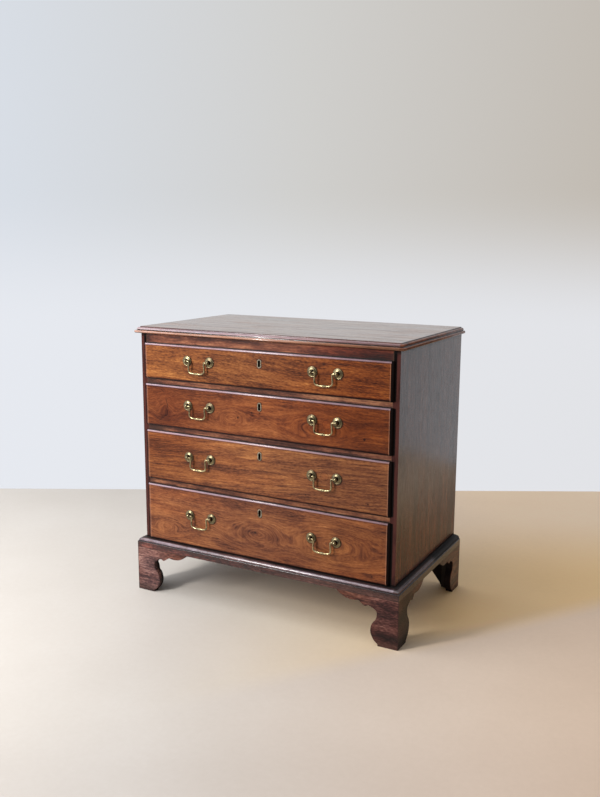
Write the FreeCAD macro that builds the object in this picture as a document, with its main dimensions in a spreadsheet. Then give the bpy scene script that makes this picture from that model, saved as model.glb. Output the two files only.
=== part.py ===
import FreeCAD, Part
import Sketcher
import math
import os

# ---------------------------------------------------------------------------
# Chest of four graduated drawers on bracket feet.
#
# Frame: millimetres, +Z up, floor at Z = 0, X = 0 on the centre line, and
# Y = 0 half way between the handles' heads and the back of the carcase.
# The front faces -Y.  Inside each drawer the local frame has its origin on
# the centre line, on the carcase's front plane, at the drawer's runner level.
# ---------------------------------------------------------------------------

doc = FreeCAD.newDocument("chest_of_drawers")

DIMENSIONS = [
    # carcase
    ("carcase_w", 840.0, "carcase width over the sides"),
    ("carcase_d", 493.0, "carcase depth"),
    ("total_h", 834.0, "height of the top surface above the floor"),
    ("side_t", 20.0, "carcase side thickness"),
    ("top_t", 20.0, "top board thickness"),
    ("top_overhang", 14.7, "overhang of the top's lower bead"),
    ("foot_h", 140.0, "bracket foot height"),
    ("foot_w", 59.5, "bracket foot width at the floor"),
    ("base_h", 30.0, "base moulding height"),
    ("base_p", 21.0, "base moulding projection and bracket thickness"),
    ("bottom_t", 18.0, "carcase bottom thickness"),
    ("bottom_up", 16.5, "carcase bottom above the foot brackets"),
    ("divider_t", 22.0, "drawer divider thickness"),
    ("divider_d", 60.0, "drawer divider depth"),
    ("frieze_d", 45.0, "front top rail depth"),
    ("housing", 6.0, "depth of the housings in the sides"),
    ("shoulder", 8.0, "stopped part of the housings at the front"),
    ("back_t", 10.0, "back board thickness"),
    ("rebate_w", 10.0, "width of the rebate for the back boards"),
    ("back_drop", 6.0, "top of the back boards below the top surface"),
    ("dust_t", 8.0, "dust board thickness"),
    ("runner_w", 40.0, "runner width inside the sides"),
    ("kicker_w", 20.0, "kicker strip width"),
    ("block_w", 22.0, "vertical glue block width"),
    # drawer openings, from the top drawer down
    ("open_1", 101.5, "opening height, top drawer"),
    ("open_2", 121.5, "opening height, second drawer"),
    ("open_3", 147.5, "opening height, third drawer"),
    ("open_4", 171.5, "opening height, bottom drawer"),
    # drawers
    ("lip_t", 9.0, "drawer front proud of the carcase"),
    ("lip_gap", 0.3, "gap behind the lip"),
    ("lip_side", 4.0, "lip over the carcase sides"),
    ("lip_over", 3.0, "lip over the rails"),
    ("lip_mould", 7.0, "width of the lip moulding"),
    ("tongue_t", 13.0, "drawer front inside the opening"),
    ("side_gap", 1.2, "drawer clearance at each side"),
    ("run_gap", 0.5, "drawer side above the runner"),
    ("front_gap", 1.0, "drawer front below the rail"),
    ("box_drop", 4.0, "drawer sides below the rail"),
    ("dside_t", 9.0, "drawer side thickness"),
    ("dback_t", 9.0, "drawer back thickness"),
    ("dbottom_t", 6.0, "drawer bottom thickness"),
    ("dbottom_up", 7.0, "drawer bottom above the runner"),
    ("dgroove", 4.0, "depth of the groove for the drawer bottom"),
    ("drawer_d", 468.0, "drawer length behind the carcase front"),
    ("tail_l", 9.0, "length of the front dovetails"),
    ("tail_splay", 1.8, "splay of the dovetails"),
    # handles
    ("handle_x", 207.0, "handle centre from the centre line"),
    ("post_pitch", 78.0, "distance between a handle's posts"),
    ("handle_up", 9.6, "handle above the middle of the drawer front"),
    ("post_out", 10.0, "bail pivot in front of the drawer face"),
    ("head_r", 5.6, "post head radius"),
    ("rose_r", 15.0, "rose radius"),
    ("shank_r", 3.3, "post shank radius"),
    ("bore_r", 1.86, "radius of the hole in the post head"),
    ("pin_r", 1.8, "bail pin radius"),
    ("wire_r", 2.45, "bail wire radius"),
    ("bail_drop", 35.3, "bail bottom below its pivot"),
    ("bail_w", 27.3, "bail half width near the bottom"),
    ("bail_neck", 26.2, "bail half width at its necks"),
    ("knop_r", 4.0, "radius of the bail's middle ring"),
    ("nut_w", 12.0, "handle nut width"),
    ("nut_t", 4.0, "handle nut thickness"),
    # locks
    ("key_drop", 35.0, "keyhole centre below the lip's top edge"),
    ("scut_w", 13.0, "escutcheon width"),
    ("scut_h", 24.5, "escutcheon height"),
    ("scut_d", 4.0, "escutcheon depth in the wood"),
    ("scut_proud", 0.5, "escutcheon proud of the wood"),
    ("key_r", 3.4, "radius of the keyhole's round end"),
    ("lock_w", 68.0, "lock plate width"),
    ("lock_h", 50.0, "lock plate height"),
    ("lock_plate", 1.5, "lock plate thickness"),
    ("case_w", 52.0, "lock case width"),
    ("case_d", 9.0, "lock case depth"),
    ("case_wall", 1.5, "lock case wall"),
    ("bolt_w", 16.0, "lock bolt width"),
    ("bolt_t", 4.6, "lock bolt thickness"),
    ("bolt_throw", 8.0, "lock bolt travel"),
    ("screw_r", 1.25, "lock screw radius"),
]

sheet = doc.addObject("Spreadsheet::Sheet", "dims")
VALUE = {}
for row, (alias, number, words) in enumerate(DIMENSIONS, start=1):
    sheet.set("A%d" % row, words)
    sheet.set("B%d" % row, repr(number))
    sheet.setAlias("B%d" % row, alias)
    VALUE[alias] = number
doc.recompute()


# ---------------------------------------------------------------------------
# A size that knows both its value and its expression in the sheet
# ---------------------------------------------------------------------------
class Q:
    def __init__(self, text, value):
        self.text = text
        self.value = value

    def __add__(self, other):
        other = q(other)
        return Q("(%s + %s)" % (self.text, other.text), self.value + other.value)

    def __radd__(self, other):
        return q(other) + self

    def __sub__(self, other):
        other = q(other)
        return Q("(%s - %s)" % (self.text, other.text), self.value - other.value)

    def __rsub__(self, other):
        return q(other) - self

    def __mul__(self, other):
        other = q(other)
        return Q("(%s * %s)" % (self.text, other.text), self.value * other.value)

    def __rmul__(self, other):
        return q(other) * self

    def __truediv__(self, other):
        other = q(other)
        return Q("(%s / %s)" % (self.text, other.text), self.value / other.value)

    def __neg__(self):
        return Q("(0 - %s)" % self.text, -self.value)


def q(number):
    if isinstance(number, Q):
        return number
    if number < 0:
        return Q("(0 - %.10g)" % -number, float(number))
    return Q("%.10g" % number, float(number))


def S(alias):
    return Q("dims." + alias, VALUE[alias])


def bind(obj, prop, size):
    size = q(size)
    if "dims." in size.text:
        obj.setExpression(prop, size.text)
    return size.value


def place(obj, x=0, y=0, z=0, rotation=None):
    x, y, z = q(x), q(y), q(z)
    obj.Placement = FreeCAD.Placement(
        FreeCAD.Vector(x.value, y.value, z.value), rotation or FreeCAD.Rotation())
    bind(obj, "Placement.Base.x", x)
    bind(obj, "Placement.Base.y", y)
    bind(obj, "Placement.Base.z", z)


# ---------------------------------------------------------------------------
# Feature helpers
# ---------------------------------------------------------------------------
def body(name, x=0, y=0, z=0):
    b = doc.addObject("PartDesign::Body", name)
    b.Label = name
    place(b, x, y, z)
    return b


def sketch(b, name, role, lift=0, shift_y=0):
    sk = b.newObject("Sketcher::SketchObject", b.Name + "_" + name)
    plane = [o for o in b.Origin.OriginFeatures if o.Role == role][0]
    sk.AttachmentSupport = [(plane, "")]
    sk.MapMode = "FlatFace"
    lift, shift_y = q(lift), q(shift_y)
    sk.AttachmentOffset = FreeCAD.Placement(
        FreeCAD.Vector(0, shift_y.value, lift.value), FreeCAD.Rotation())
    bind(sk, "AttachmentOffset.Base.y", shift_y)
    bind(sk, "AttachmentOffset.Base.z", lift)
    return sk


def arc_through(a, m, b):
    """Circle centre, radius and sense of the arc from a through m to b."""
    ax, ay = a
    bx, by = m
    cx, cy = b
    d = 2.0 * (ax * (by - cy) + bx * (cy - ay) + cx * (ay - by))
    ux = ((ax * ax + ay * ay) * (by - cy) + (bx * bx + by * by) * (cy - ay)
          + (cx * cx + cy * cy) * (ay - by)) / d
    uy = ((ax * ax + ay * ay) * (cx - bx) + (bx * bx + by * by) * (ax - cx)
          + (cx * cx + cy * cy) * (bx - ax)) / d
    r = math.hypot(ax - ux, ay - uy)
    turn = (bx - ax) * (cy - ay) - (by - ay) * (cx - ax)
    return ux, uy, r, turn > 0


def fix_point(sk, cons, geo, pos, x, y):
    cons.append(("DistanceX", geo, pos, q(x)))
    cons.append(("DistanceY", geo, pos, q(y)))


def commit(sk, cons):
    made = []
    for c in cons:
        if c[0] in ("DistanceX", "DistanceY"):
            made.append(Sketcher.Constraint(c[0], -1, 1, c[1], c[2], c[3].value))
        elif c[0] == "Radius":
            made.append(Sketcher.Constraint("Radius", c[1], c[2].value))
        else:
            made.append(Sketcher.Constraint(*c))
    index = sk.addConstraint(made)
    for i, c in zip(index, cons):
        if c[0] in ("DistanceX", "DistanceY"):
            bind(sk, "Constraints[%d]" % i, c[3])
        elif c[0] == "Radius":
            bind(sk, "Constraints[%d]" % i, c[2])


def outline(sk, points, unit=None):
    """Closed outline.  A point is (x, y) and a line goes on to the next one,
    or (x, y, mx, my) and an arc goes on through (mx, my)."""
    first = sk.GeometryCount
    geo = []
    cons = []
    n = len(points)
    senses = []
    for i in range(n):
        a = points[i]
        b = points[(i + 1) % n]
        ax, ay, bx, by = q(a[0]).value, q(a[1]).value, q(b[0]).value, q(b[1]).value
        if len(a) == 2:
            geo.append(Part.LineSegment(FreeCAD.Vector(ax, ay, 0), FreeCAD.Vector(bx, by, 0)))
            senses.append((1, 2))
        else:
            mx, my = q(a[2]).value, q(a[3]).value
            ux, uy, r, ccw = arc_through((ax, ay), (mx, my), (bx, by))
            t0 = math.atan2(ay - uy, ax - ux)
            t1 = math.atan2(by - uy, bx - ux)
            if not ccw:
                t0, t1 = t1, t0
            while t1 <= t0:
                t1 += 2.0 * math.pi
            circle = Part.Circle(FreeCAD.Vector(ux, uy, 0), FreeCAD.Vector(0, 0, 1), r)
            geo.append(Part.ArcOfCircle(circle, t0, t1))
            senses.append((1, 2) if ccw else (2, 1))
            # the centre lies on the chord's bisector, so one coordinate fixes it
            scale = unit if unit is not None else S("top_t")
            if abs(by - ay) > abs(bx - ax):
                cons.append(("DistanceX", first + i, 3, q(a[0]) + scale * ((ux - ax) / scale.value)))
            else:
                cons.append(("DistanceY", first + i, 3, q(a[1]) + scale * ((uy - ay) / scale.value)))
    sk.addGeometry(geo, False)
    for i in range(n):
        j = (i + 1) % n
        cons.append(("Coincident", first + i, senses[i][1], first + j, senses[j][0]))
        fix_point(sk, cons, first + i, senses[i][0], points[i][0], points[i][1])
    commit(sk, cons)


def rectangle(sk, x0, x1, y0, y1):
    outline(sk, [(x0, y0), (x1, y0), (x1, y1), (x0, y1)])


def circle(sk, x, y, r):
    x, y, r = q(x), q(y), q(r)
    g = sk.addGeometry(Part.Circle(FreeCAD.Vector(x.value, y.value, 0),
                                   FreeCAD.Vector(0, 0, 1), r.value), False)
    cons = [("Radius", g, r)]
    fix_point(sk, cons, g, 3, x, y)
    commit(sk, cons)


def tangent_path(sk, verts, radii):
    """Open path of straight runs joined by tangent arcs.  The arcs round the
    inner vertices, which stay in the sketch as construction points."""
    pts = [(q(x).value, q(y).value) for x, y in verts]
    n = len(pts)
    cut = [0.0] * n
    turn = [0.0] * n
    for i in range(1, n - 1):
        ax, ay = pts[i][0] - pts[i - 1][0], pts[i][1] - pts[i - 1][1]
        bx, by = pts[i + 1][0] - pts[i][0], pts[i + 1][1] - pts[i][1]
        turn[i] = math.atan2(ax * by - ay * bx, ax * bx + ay * by)
        cut[i] = q(radii[i - 1]).value * math.tan(abs(turn[i]) / 2.0)

    def along(i, j, d):
        length = math.hypot(pts[j][0] - pts[i][0], pts[j][1] - pts[i][1])
        return (pts[i][0] + (pts[j][0] - pts[i][0]) * d / length,
                pts[i][1] + (pts[j][1] - pts[i][1]) * d / length)

    geo = []
    lines = []
    for i in range(n - 1):
        a = along(i, i + 1, cut[i])
        b = along(i + 1, i, cut[i + 1])
        lines.append(len(geo))
        geo.append(Part.LineSegment(FreeCAD.Vector(a[0], a[1], 0), FreeCAD.Vector(b[0], b[1], 0)))
        if i + 1 < n - 1:
            r = q(radii[i]).value
            c = along(i + 1, i + 2, cut[i + 1])
            ux, uy = pts[i + 1][0] - pts[i][0], pts[i + 1][1] - pts[i][1]
            length = math.hypot(ux, uy)
            side = 1.0 if turn[i + 1] > 0 else -1.0
            cx, cy = b[0] - uy / length * r * side, b[1] + ux / length * r * side
            t0 = math.atan2(b[1] - cy, b[0] - cx)
            t1 = math.atan2(c[1] - cy, c[0] - cx)
            if side < 0:
                t0, t1 = t1, t0
            while t1 <= t0:
                t1 += 2.0 * math.pi
            geo.append(Part.ArcOfCircle(Part.Circle(FreeCAD.Vector(cx, cy, 0),
                                                    FreeCAD.Vector(0, 0, 1), r), t0, t1))
    sk.addGeometry(geo, False)
    dots = sk.addGeometry([Part.Point(FreeCAD.Vector(p[0], p[1], 0)) for p in pts[1:-1]], True)
    cons = []
    for i in range(1, n - 1):
        a, arc, b = lines[i - 1], lines[i - 1] + 1, lines[i]
        start, end = (1, 2) if turn[i] > 0 else (2, 1)
        cons.append(("Tangent", a, 2, arc, start))
        cons.append(("Tangent", arc, end, b, 1))
        cons.append(("Radius", arc, q(radii[i - 1])))
        dot = dots[i - 1]
        fix_point(sk, cons, dot, 1, verts[i][0], verts[i][1])
        cons.append(("PointOnObject", dot, 1, a))
        cons.append(("PointOnObject", dot, 1, b))
    fix_point(sk, cons, lines[0], 1, verts[0][0], verts[0][1])
    fix_point(sk, cons, lines[-1], 2, verts[-1][0], verts[-1][1])
    commit(sk, cons)
    return ["Edge%d" % (i + 1) for i in range(len(geo))]


def pad(b, name, sk, length, back=False, both=False):
    f = b.newObject("PartDesign::Pad", b.Name + "_" + name)
    f.Profile = sk
    f.Length = bind(f, "Length", length)
    f.Reversed = back
    if both:
        f.SideType = "Symmetric"
    b.Tip = f
    return f


def pocket(b, name, sk, length, back=False, both=False):
    f = b.newObject("PartDesign::Pocket", b.Name + "_" + name)
    f.Profile = sk
    f.Length = bind(f, "Length", length)
    f.Reversed = back
    if both:
        f.SideType = "Symmetric"
    b.Tip = f
    return f


def revolve(b, name, sk, axis):
    f = b.newObject("PartDesign::Revolution", b.Name + "_" + name)
    f.Profile = sk
    f.ReferenceAxis = (sk, [axis])
    f.Angle = 360.0
    b.Tip = f
    return f


def box(name, x0, x1, y0, y1, z0, z1):
    o = doc.addObject("Part::Box", name)
    o.Label = name
    o.Length = bind(o, "Length", q(x1) - x0)
    o.Width = bind(o, "Width", q(y1) - y0)
    o.Height = bind(o, "Height", q(z1) - z0)
    place(o, x0, y0, z0)
    return o


def mirror(name, source, x=0):
    o = doc.addObject("Part::Mirroring", name)
    o.Label = name
    o.Source = source
    x = q(x)
    o.Base = FreeCAD.Vector(x.value, 0, 0)
    bind(o, "Base.x", x)
    o.Normal = FreeCAD.Vector(1, 0, 0)
    return o


def group(name, members):
    o = doc.addObject("Part::Compound", name)
    o.Label = name
    o.Links = members
    return o


def cut(name, base, tool):
    o = doc.addObject("Part::Cut", name)
    o.Label = name
    o.Base = base
    o.Tool = tool
    return o


NODES = []


def node(obj):
    NODES.append(obj)
    return obj


# ---------------------------------------------------------------------------
# Levels and planes
# ---------------------------------------------------------------------------
HALF = S("carcase_w") / 2
INNER = HALF - S("side_t")
FRONT = -(S("carcase_d") - S("lip_t") - S("post_out") - S("head_r")) / 2
REAR = FRONT + S("carcase_d")
BACK_IN = REAR - S("back_t")
UNDER_TOP = S("total_h") - S("top_t")
BOTTOM = S("foot_h") + S("bottom_up")

FLOOR = {4: BOTTOM + S("bottom_t")}
for i in (3, 2, 1):
    FLOOR[i] = FLOOR[i + 1] + S("open_%d" % (i + 1)) + S("divider_t")
FRIEZE = FLOOR[1] + S("open_1")


# ---------------------------------------------------------------------------
# Carcase sides: a board with stopped housings and a rebate at the back
# ---------------------------------------------------------------------------
b = body("side_left", -HALF, FRONT, S("foot_h"))
side_h = UNDER_TOP - S("foot_h")
sk = sketch(b, "board", "XZ_Plane")
rectangle(sk, 0, S("side_t"), 0, side_h)
pad(b, "pad", sk, S("carcase_d"), back=True)
sk = sketch(b, "housings", "YZ_Plane", lift=S("side_t"))
rectangle(sk, S("shoulder"), S("carcase_d") - S("back_t"), S("bottom_up"), S("bottom_up") + S("bottom_t"))
for i in (3, 2, 1):
    low = FLOOR[i] - S("divider_t") - S("foot_h")
    rectangle(sk, S("shoulder"), S("carcase_d") - S("back_t"), low, low + S("divider_t"))
rectangle(sk, S("shoulder"), S("frieze_d"), FRIEZE - S("foot_h"), side_h + 2)
pocket(b, "housing_cut", sk, S("housing"))
sk = sketch(b, "rebate", "XY_Plane")
rectangle(sk, S("side_t") - S("rebate_w"), S("side_t") + 2, S("carcase_d") - S("back_t"), S("carcase_d") + 2)
pocket(b, "rebate_cut", sk, side_h * 2.2, both=True)
node(b)
node(mirror("side_right", b))


# ---------------------------------------------------------------------------
# Top board: bead, quirk and ovolo on the front and both ends
# ---------------------------------------------------------------------------
bead_r = S("top_t") * 0.225
bead_o = S("top_overhang") - bead_r
top_edge = [
    # out from the carcase, height above the underside
    (bead_o, q(0), S("top_overhang"), bead_r),
    (bead_o, bead_r * 2),
    (bead_o - 1.9, bead_r * 2),
    (bead_o - 1.9, bead_r * 2 + 1.8),
    (bead_o - 0.9, bead_r * 2 + 1.8, bead_o - 2.9, S("top_t") - 4.2),
    (q(2.6), S("top_t") - 2.4),
    (q(2.0), S("top_t") - 2.4),
    (q(2.0), S("top_t") - 0.9),
    (q(1.1), S("top_t")),
]


def flip(points, place_point):
    """Move a list of (out, up) points into a sketch by place_point."""
    out = []
    for p in points:
        x, y = place_point(p[0], p[1])
        if len(p) == 4:
            mx, my = place_point(p[2], p[3])
            out.append((x, y, mx, my))
        else:
            out.append((x, y))
    return out


def reverse(points):
    """Same outline points in the opposite order, arcs kept."""
    out = []
    n = len(points)
    for i in range(n - 1, -1, -1):
        p = points[i]
        before = points[i - 1] if i > 0 else None
        if before is not None and len(before) == 4:
            out.append((p[0], p[1], before[2], before[3]))
        else:
            out.append((p[0], p[1]))
    return out


b = body("top_board", 0, FRONT, UNDER_TOP)
sk = sketch(b, "ends", "XZ_Plane", lift=S("top_overhang") + 1)
right = flip(top_edge, lambda o, u: (HALF + o, u))
left = reverse(flip(top_edge, lambda o, u: (-HALF - o, u)))
outline(sk, right + left, S("top_t"))
pad(b, "pad", sk, S("carcase_d") - S("back_t") + S("top_overhang") + 1, back=True)
sk = sketch(b, "front_edge", "YZ_Plane")
curve = flip(top_edge, lambda o, u: (-o, u))
outline(sk, [(-bead_o, q(-2))] + curve + [
    (q(-1.1), S("top_t") + 2), (-S("top_overhang") - 4, S("top_t") + 2),
    (-S("top_overhang") - 4, q(-2))], S("top_t"))
pocket(b, "front_cut", sk, S("carcase_w") * 1.5, both=True)
node(b)


# ---------------------------------------------------------------------------
# Rails between the sides: stub ends sit in the stopped housings
# ---------------------------------------------------------------------------
def housed_board(name, depth, z, thickness, reach=None):
    b = body(name, 0, FRONT, z)
    sk = sketch(b, "plan", "XY_Plane")
    end = INNER + S("housing")
    stop = S("shoulder")
    outline(sk, [(-INNER, q(0)), (INNER, q(0)), (INNER, stop), (end, stop), (end, depth),
                 (-end, depth), (-end, stop), (-INNER, stop)])
    pad(b, "pad", sk, thickness)
    return b


BOLT_Y = S("tongue_t") - S("lock_plate") - S("case_d") / 2


def bolt_mortise(b):
    sk = sketch(b, "mortise", "XY_Plane")
    rectangle(sk, -(S("bolt_w") / 2 + 1.5), S("bolt_w") / 2 + 1.5,
              BOLT_Y - S("bolt_t") / 2 - 1.2, BOLT_Y + S("bolt_t") / 2 + 1.2)
    pocket(b, "mortise_cut", sk, S("bolt_throw") + 1, back=True)


b = housed_board("frieze_rail", S("frieze_d"), FRIEZE, UNDER_TOP - FRIEZE)
bolt_mortise(b)
node(b)
for i in (1, 2, 3):
    b = housed_board("drawer_divider_%d" % i, S("divider_d"), FLOOR[i] - S("divider_t"), S("divider_t"))
    bolt_mortise(b)
    node(b)
node(housed_board("bottom_board", S("carcase_d") - S("back_t"), BOTTOM, S("bottom_t")))

# dust boards fill the space behind each divider, between the runners
members = []
for i in (1, 2, 3):
    low = FLOOR[i] - (S("divider_t") + S("dust_t")) / 2
    members.append(box("dust_board_%d" % i, -(INNER - S("runner_w")), INNER - S("runner_w"),
                       FRONT + S("divider_d"), BACK_IN - 6, low, low + S("dust_t")))
node(group("dust_boards", members))

# runners behind the dividers, and kicker strips over the top drawer
members = []
for i in (1, 2, 3):
    r = box("runner_%d_left" % i, -(INNER + S("housing")), -(INNER - S("runner_w")),
            FRONT + S("divider_d"), BACK_IN, FLOOR[i] - S("divider_t"), FLOOR[i])
    members += [r, mirror("runner_%d_right" % i, r)]
r = box("kicker_left", -INNER, -(INNER - S("kicker_w")), FRONT + S("frieze_d"), BACK_IN, FRIEZE, UNDER_TOP)
members += [r, mirror("kicker_right", r)]
node(group("drawer_runners", members))

# stops behind the drawer sides
members = []
for i in (1, 2, 3, 4):
    r = box("stop_%d_left" % i, -(INNER - 2), -(INNER - 26),
            FRONT + S("drawer_d") + 0.5, BACK_IN, FLOOR[i], FLOOR[i] + 22)
    members += [r, mirror("stop_%d_right" % i, r)]
node(group("drawer_stops", members))

# vertical back boards in the rebates
members = []
widths = (0.262, 0.238, 0.256, 0.244)
span = (INNER + S("rebate_w")) * 2
left_x = -(INNER + S("rebate_w"))
for i, share in enumerate(widths, start=1):
    right_x = left_x + span * share
    members.append(box("back_board_%d" % i, left_x + 0.2, right_x - 0.2, BACK_IN, REAR,
                       S("foot_h") + 1, S("total_h") - S("back_drop")))
    left_x = right_x
node(group("back_boards", members))


# ---------------------------------------------------------------------------
# Base moulding: an ovolo over a fillet, mitred at the front corners
# ---------------------------------------------------------------------------
bp = S("base_p")
base_edge = [
    (q(0), q(0)),
    (bp, q(0)),
    (bp, S("base_h") - 13.0, bp - 0.5, S("base_h") - 11.7),
    (bp - 1.8, S("base_h") - 11.2),
    (bp - 2.9, S("base_h") - 11.2),
    (bp - 2.9, S("base_h") - 9.9, bp - 5.2, S("base_h") - 4.1),
    (bp - 11.6, S("base_h") - 1.5),
    (bp - 12.6, S("base_h") - 1.5),
    (bp - 12.6, S("base_h") - 0.7),
    (q(0), S("base_h")),
]
b = body("base_moulding_front", 0, FRONT, S("foot_h"))
sk = sketch(b, "section", "YZ_Plane")
outline(sk, flip(base_edge, lambda o, u: (-o, u)), S("base_h"))
pad(b, "pad", sk, S("carcase_w") + bp * 2, both=True)
sk = sketch(b, "mitres", "XY_Plane")
outline(sk, [(HALF - 2, q(2)), (HALF + bp + 3, -bp - 3), (HALF + bp + 9, -bp - 3), (HALF + bp + 9, q(2))])
outline(sk, [(-HALF + 2, q(2)), (-HALF - bp - 9, q(2)), (-HALF - bp - 9, -bp - 3), (-HALF - bp - 3, -bp - 3)])
pocket(b, "mitre_cut", sk, S("base_h") * 3, both=True)
node(b)

b = body("base_moulding_left", -HALF, FRONT, S("foot_h"))
sk = sketch(b, "section", "XZ_Plane", lift=bp)
outline(sk, flip(base_edge, lambda o, u: (-o, u)), S("base_h"))
pad(b, "pad", sk, S("carcase_d") + bp, back=True)
sk = sketch(b, "mitre", "XY_Plane")
outline(sk, [(q(2), q(2)), (-bp - 3, -bp - 3), (q(2), -bp - 3)])
pocket(b, "mitre_cut", sk, S("base_h") * 3, both=True)
node(b)
node(mirror("base_moulding_right", b))


# ---------------------------------------------------------------------------
# Bracket feet: shaped boards, in from the outer corner and up from the floor
# ---------------------------------------------------------------------------
fh = S("foot_h")
fw = S("foot_w")


def bracket_points(along_u, up):
    """Ogee outline of a bracket; along_u and up scale the two directions."""
    raw = [
        (0.0, 0.0),
        (59.5, 0.0),
        (59.5, 5.5, 80.6, 34.0),
        (74.5, 66.5, 65.6, 79.0),
        (63.2, 91.0, 66.0, 100.5),
        (72.6, 106.0, 80.8, 110.3),
        (89.5, 112.6),
        (99.5, 108.6, 107.6, 113.0),
        (116.0, 120.4),
        (121.0, 121.4, 139.0, 119.4),
        (157.0, 121.4, 172.6, 128.6),
        (188.0, 140.0),
        (0.0, 140.0),
    ]
    out = []
    for p in raw:
        if len(p) == 4:
            out.append((along_u(p[0]), up(p[1]), along_u(p[2]), up(p[3])))
        else:
            out.append((along_u(p[0]), up(p[1])))
    return out


def up(v):
    return fh * (v / 140.0)


def front_bracket(name):
    b = body(name, -HALF - bp, FRONT - bp, 0)
    sk = sketch(b, "shape", "XZ_Plane")
    outline(sk, bracket_points(lambda u: fw * (u / 59.5), up), fh)
    pad(b, "pad", sk, bp, back=True)
    sk = sketch(b, "mitre", "XY_Plane")
    outline(sk, [(q(-2), q(-2)), (bp + 2, bp + 2), (q(-2), bp + 2)])
    pocket(b, "mitre_cut", sk, fh * 3, both=True)
    return b


def side_bracket(name, rear):
    if rear:
        b = body(name, -HALF - bp, REAR, 0)
        sk = sketch(b, "shape", "YZ_Plane")
        outline(sk, bracket_points(lambda u: fw * (-u / 59.5), up), fh)
        pad(b, "pad", sk, bp)
        return b
    b = body(name, -HALF - bp, FRONT - bp, 0)
    sk = sketch(b, "shape", "YZ_Plane")
    outline(sk, bracket_points(lambda u: fw * (u / 59.5), up), fh)
    pad(b, "pad", sk, bp)
    sk = sketch(b, "mitre", "XY_Plane")
    outline(sk, [(q(-2), q(-2)), (bp + 2, q(-2)), (bp + 2, bp + 2)])
    pocket(b, "mitre_cut", sk, fh * 3, both=True)
    return b


ff = group("foot_front_left", [front_bracket("bracket_front_left"), side_bracket("bracket_side_front_left", False)])
node(ff)
node(mirror("foot_front_right", ff))

b = body("bracket_rear_left", -HALF, REAR, 0)
sk = sketch(b, "shape", "XZ_Plane")
outline(sk, [(q(0), q(0)), (fw * 0.54, q(0)), (fw * 0.56, fh * 0.04), (fw * 2.35, fh), (q(0), fh)])
pad(b, "pad", sk, bp - 1)
fb = group("foot_back_left", [side_bracket("bracket_side_back_left", True), b])
node(fb)
node(mirror("foot_back_right", fb))

# glue blocks inside the feet, some under the sides and some under the bottom
bw = S("block_w")
left_blocks = [
    box("block_front_upright", -HALF, -HALF + bw, FRONT, FRONT + bw, 2, fh),
    box("block_front_long", -HALF + bw, -HALF + bw + 100, FRONT, FRONT + 24, fh - 17, BOTTOM),
    box("block_side_front", -HALF, -HALF + 24, FRONT + bw, FRONT + bw + 84, fh - 17, fh),
    box("block_back_upright", -HALF, -HALF + bw, REAR - bp + 1 - bw, REAR - bp + 1, 2, fh),
    box("block_side_back", -HALF, -HALF + 24, REAR - bp + 1 - bw - 84, REAR - bp + 1 - bw, fh - 17, fh),
]
right_blocks = [mirror(o.Name + "_right", o) for o in left_blocks]
node(group("foot_glue_blocks", left_blocks + right_blocks))


# ---------------------------------------------------------------------------
# One drawer with its lock and its two bail handles
# ---------------------------------------------------------------------------
TAILS = {1: 2, 2: 3, 3: 3, 4: 4}


def lip_negative(edge, sign):
    """Waste outside the lip moulding.  edge is the outer edge's position and
    sign points outwards; the second value is depth in front of the carcase."""
    m = S("lip_mould")
    t = S("lip_t")
    return [
        (edge, -(t * 0.24), edge - m * 0.24 * sign, -(t * 0.70)),
        (edge - m * 0.88 * sign, -(t * 0.915)),
        (edge - m * sign, -(t * 0.915)),
        (edge - m * sign, -(t + 2)),
        (edge + 3 * sign, -(t + 2)),
        (edge + 3 * sign, -(t * 0.24)),
    ]


def slot_outline(sk, x, z, w, h):
    """Upright slot with half-round ends."""
    r = w / 2
    z0 = z - h / 2 + r
    z1 = z + h / 2 - r
    outline(sk, [(x - r, z1), (x - r, z0, x, z - h / 2), (x + r, z0), (x + r, z1, x, z + h / 2)], w)


def keyhole_outline(sk, z):
    """Round at both ends and waisted between."""
    r = S("key_r")
    n = r * 0.60
    top = z + S("scut_h") / 2 - 4.45
    low = z - S("scut_h") / 2 + 4.45
    c1 = top - r
    c2 = low + r * 0.92
    k = r * 0.80
    outline(sk, [
        (-n, c1 - k, q(0), top),
        (n, c1 - k),
        (n, c2 + k, q(0), low),
        (-n, c2 + k),
    ], r)


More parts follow.
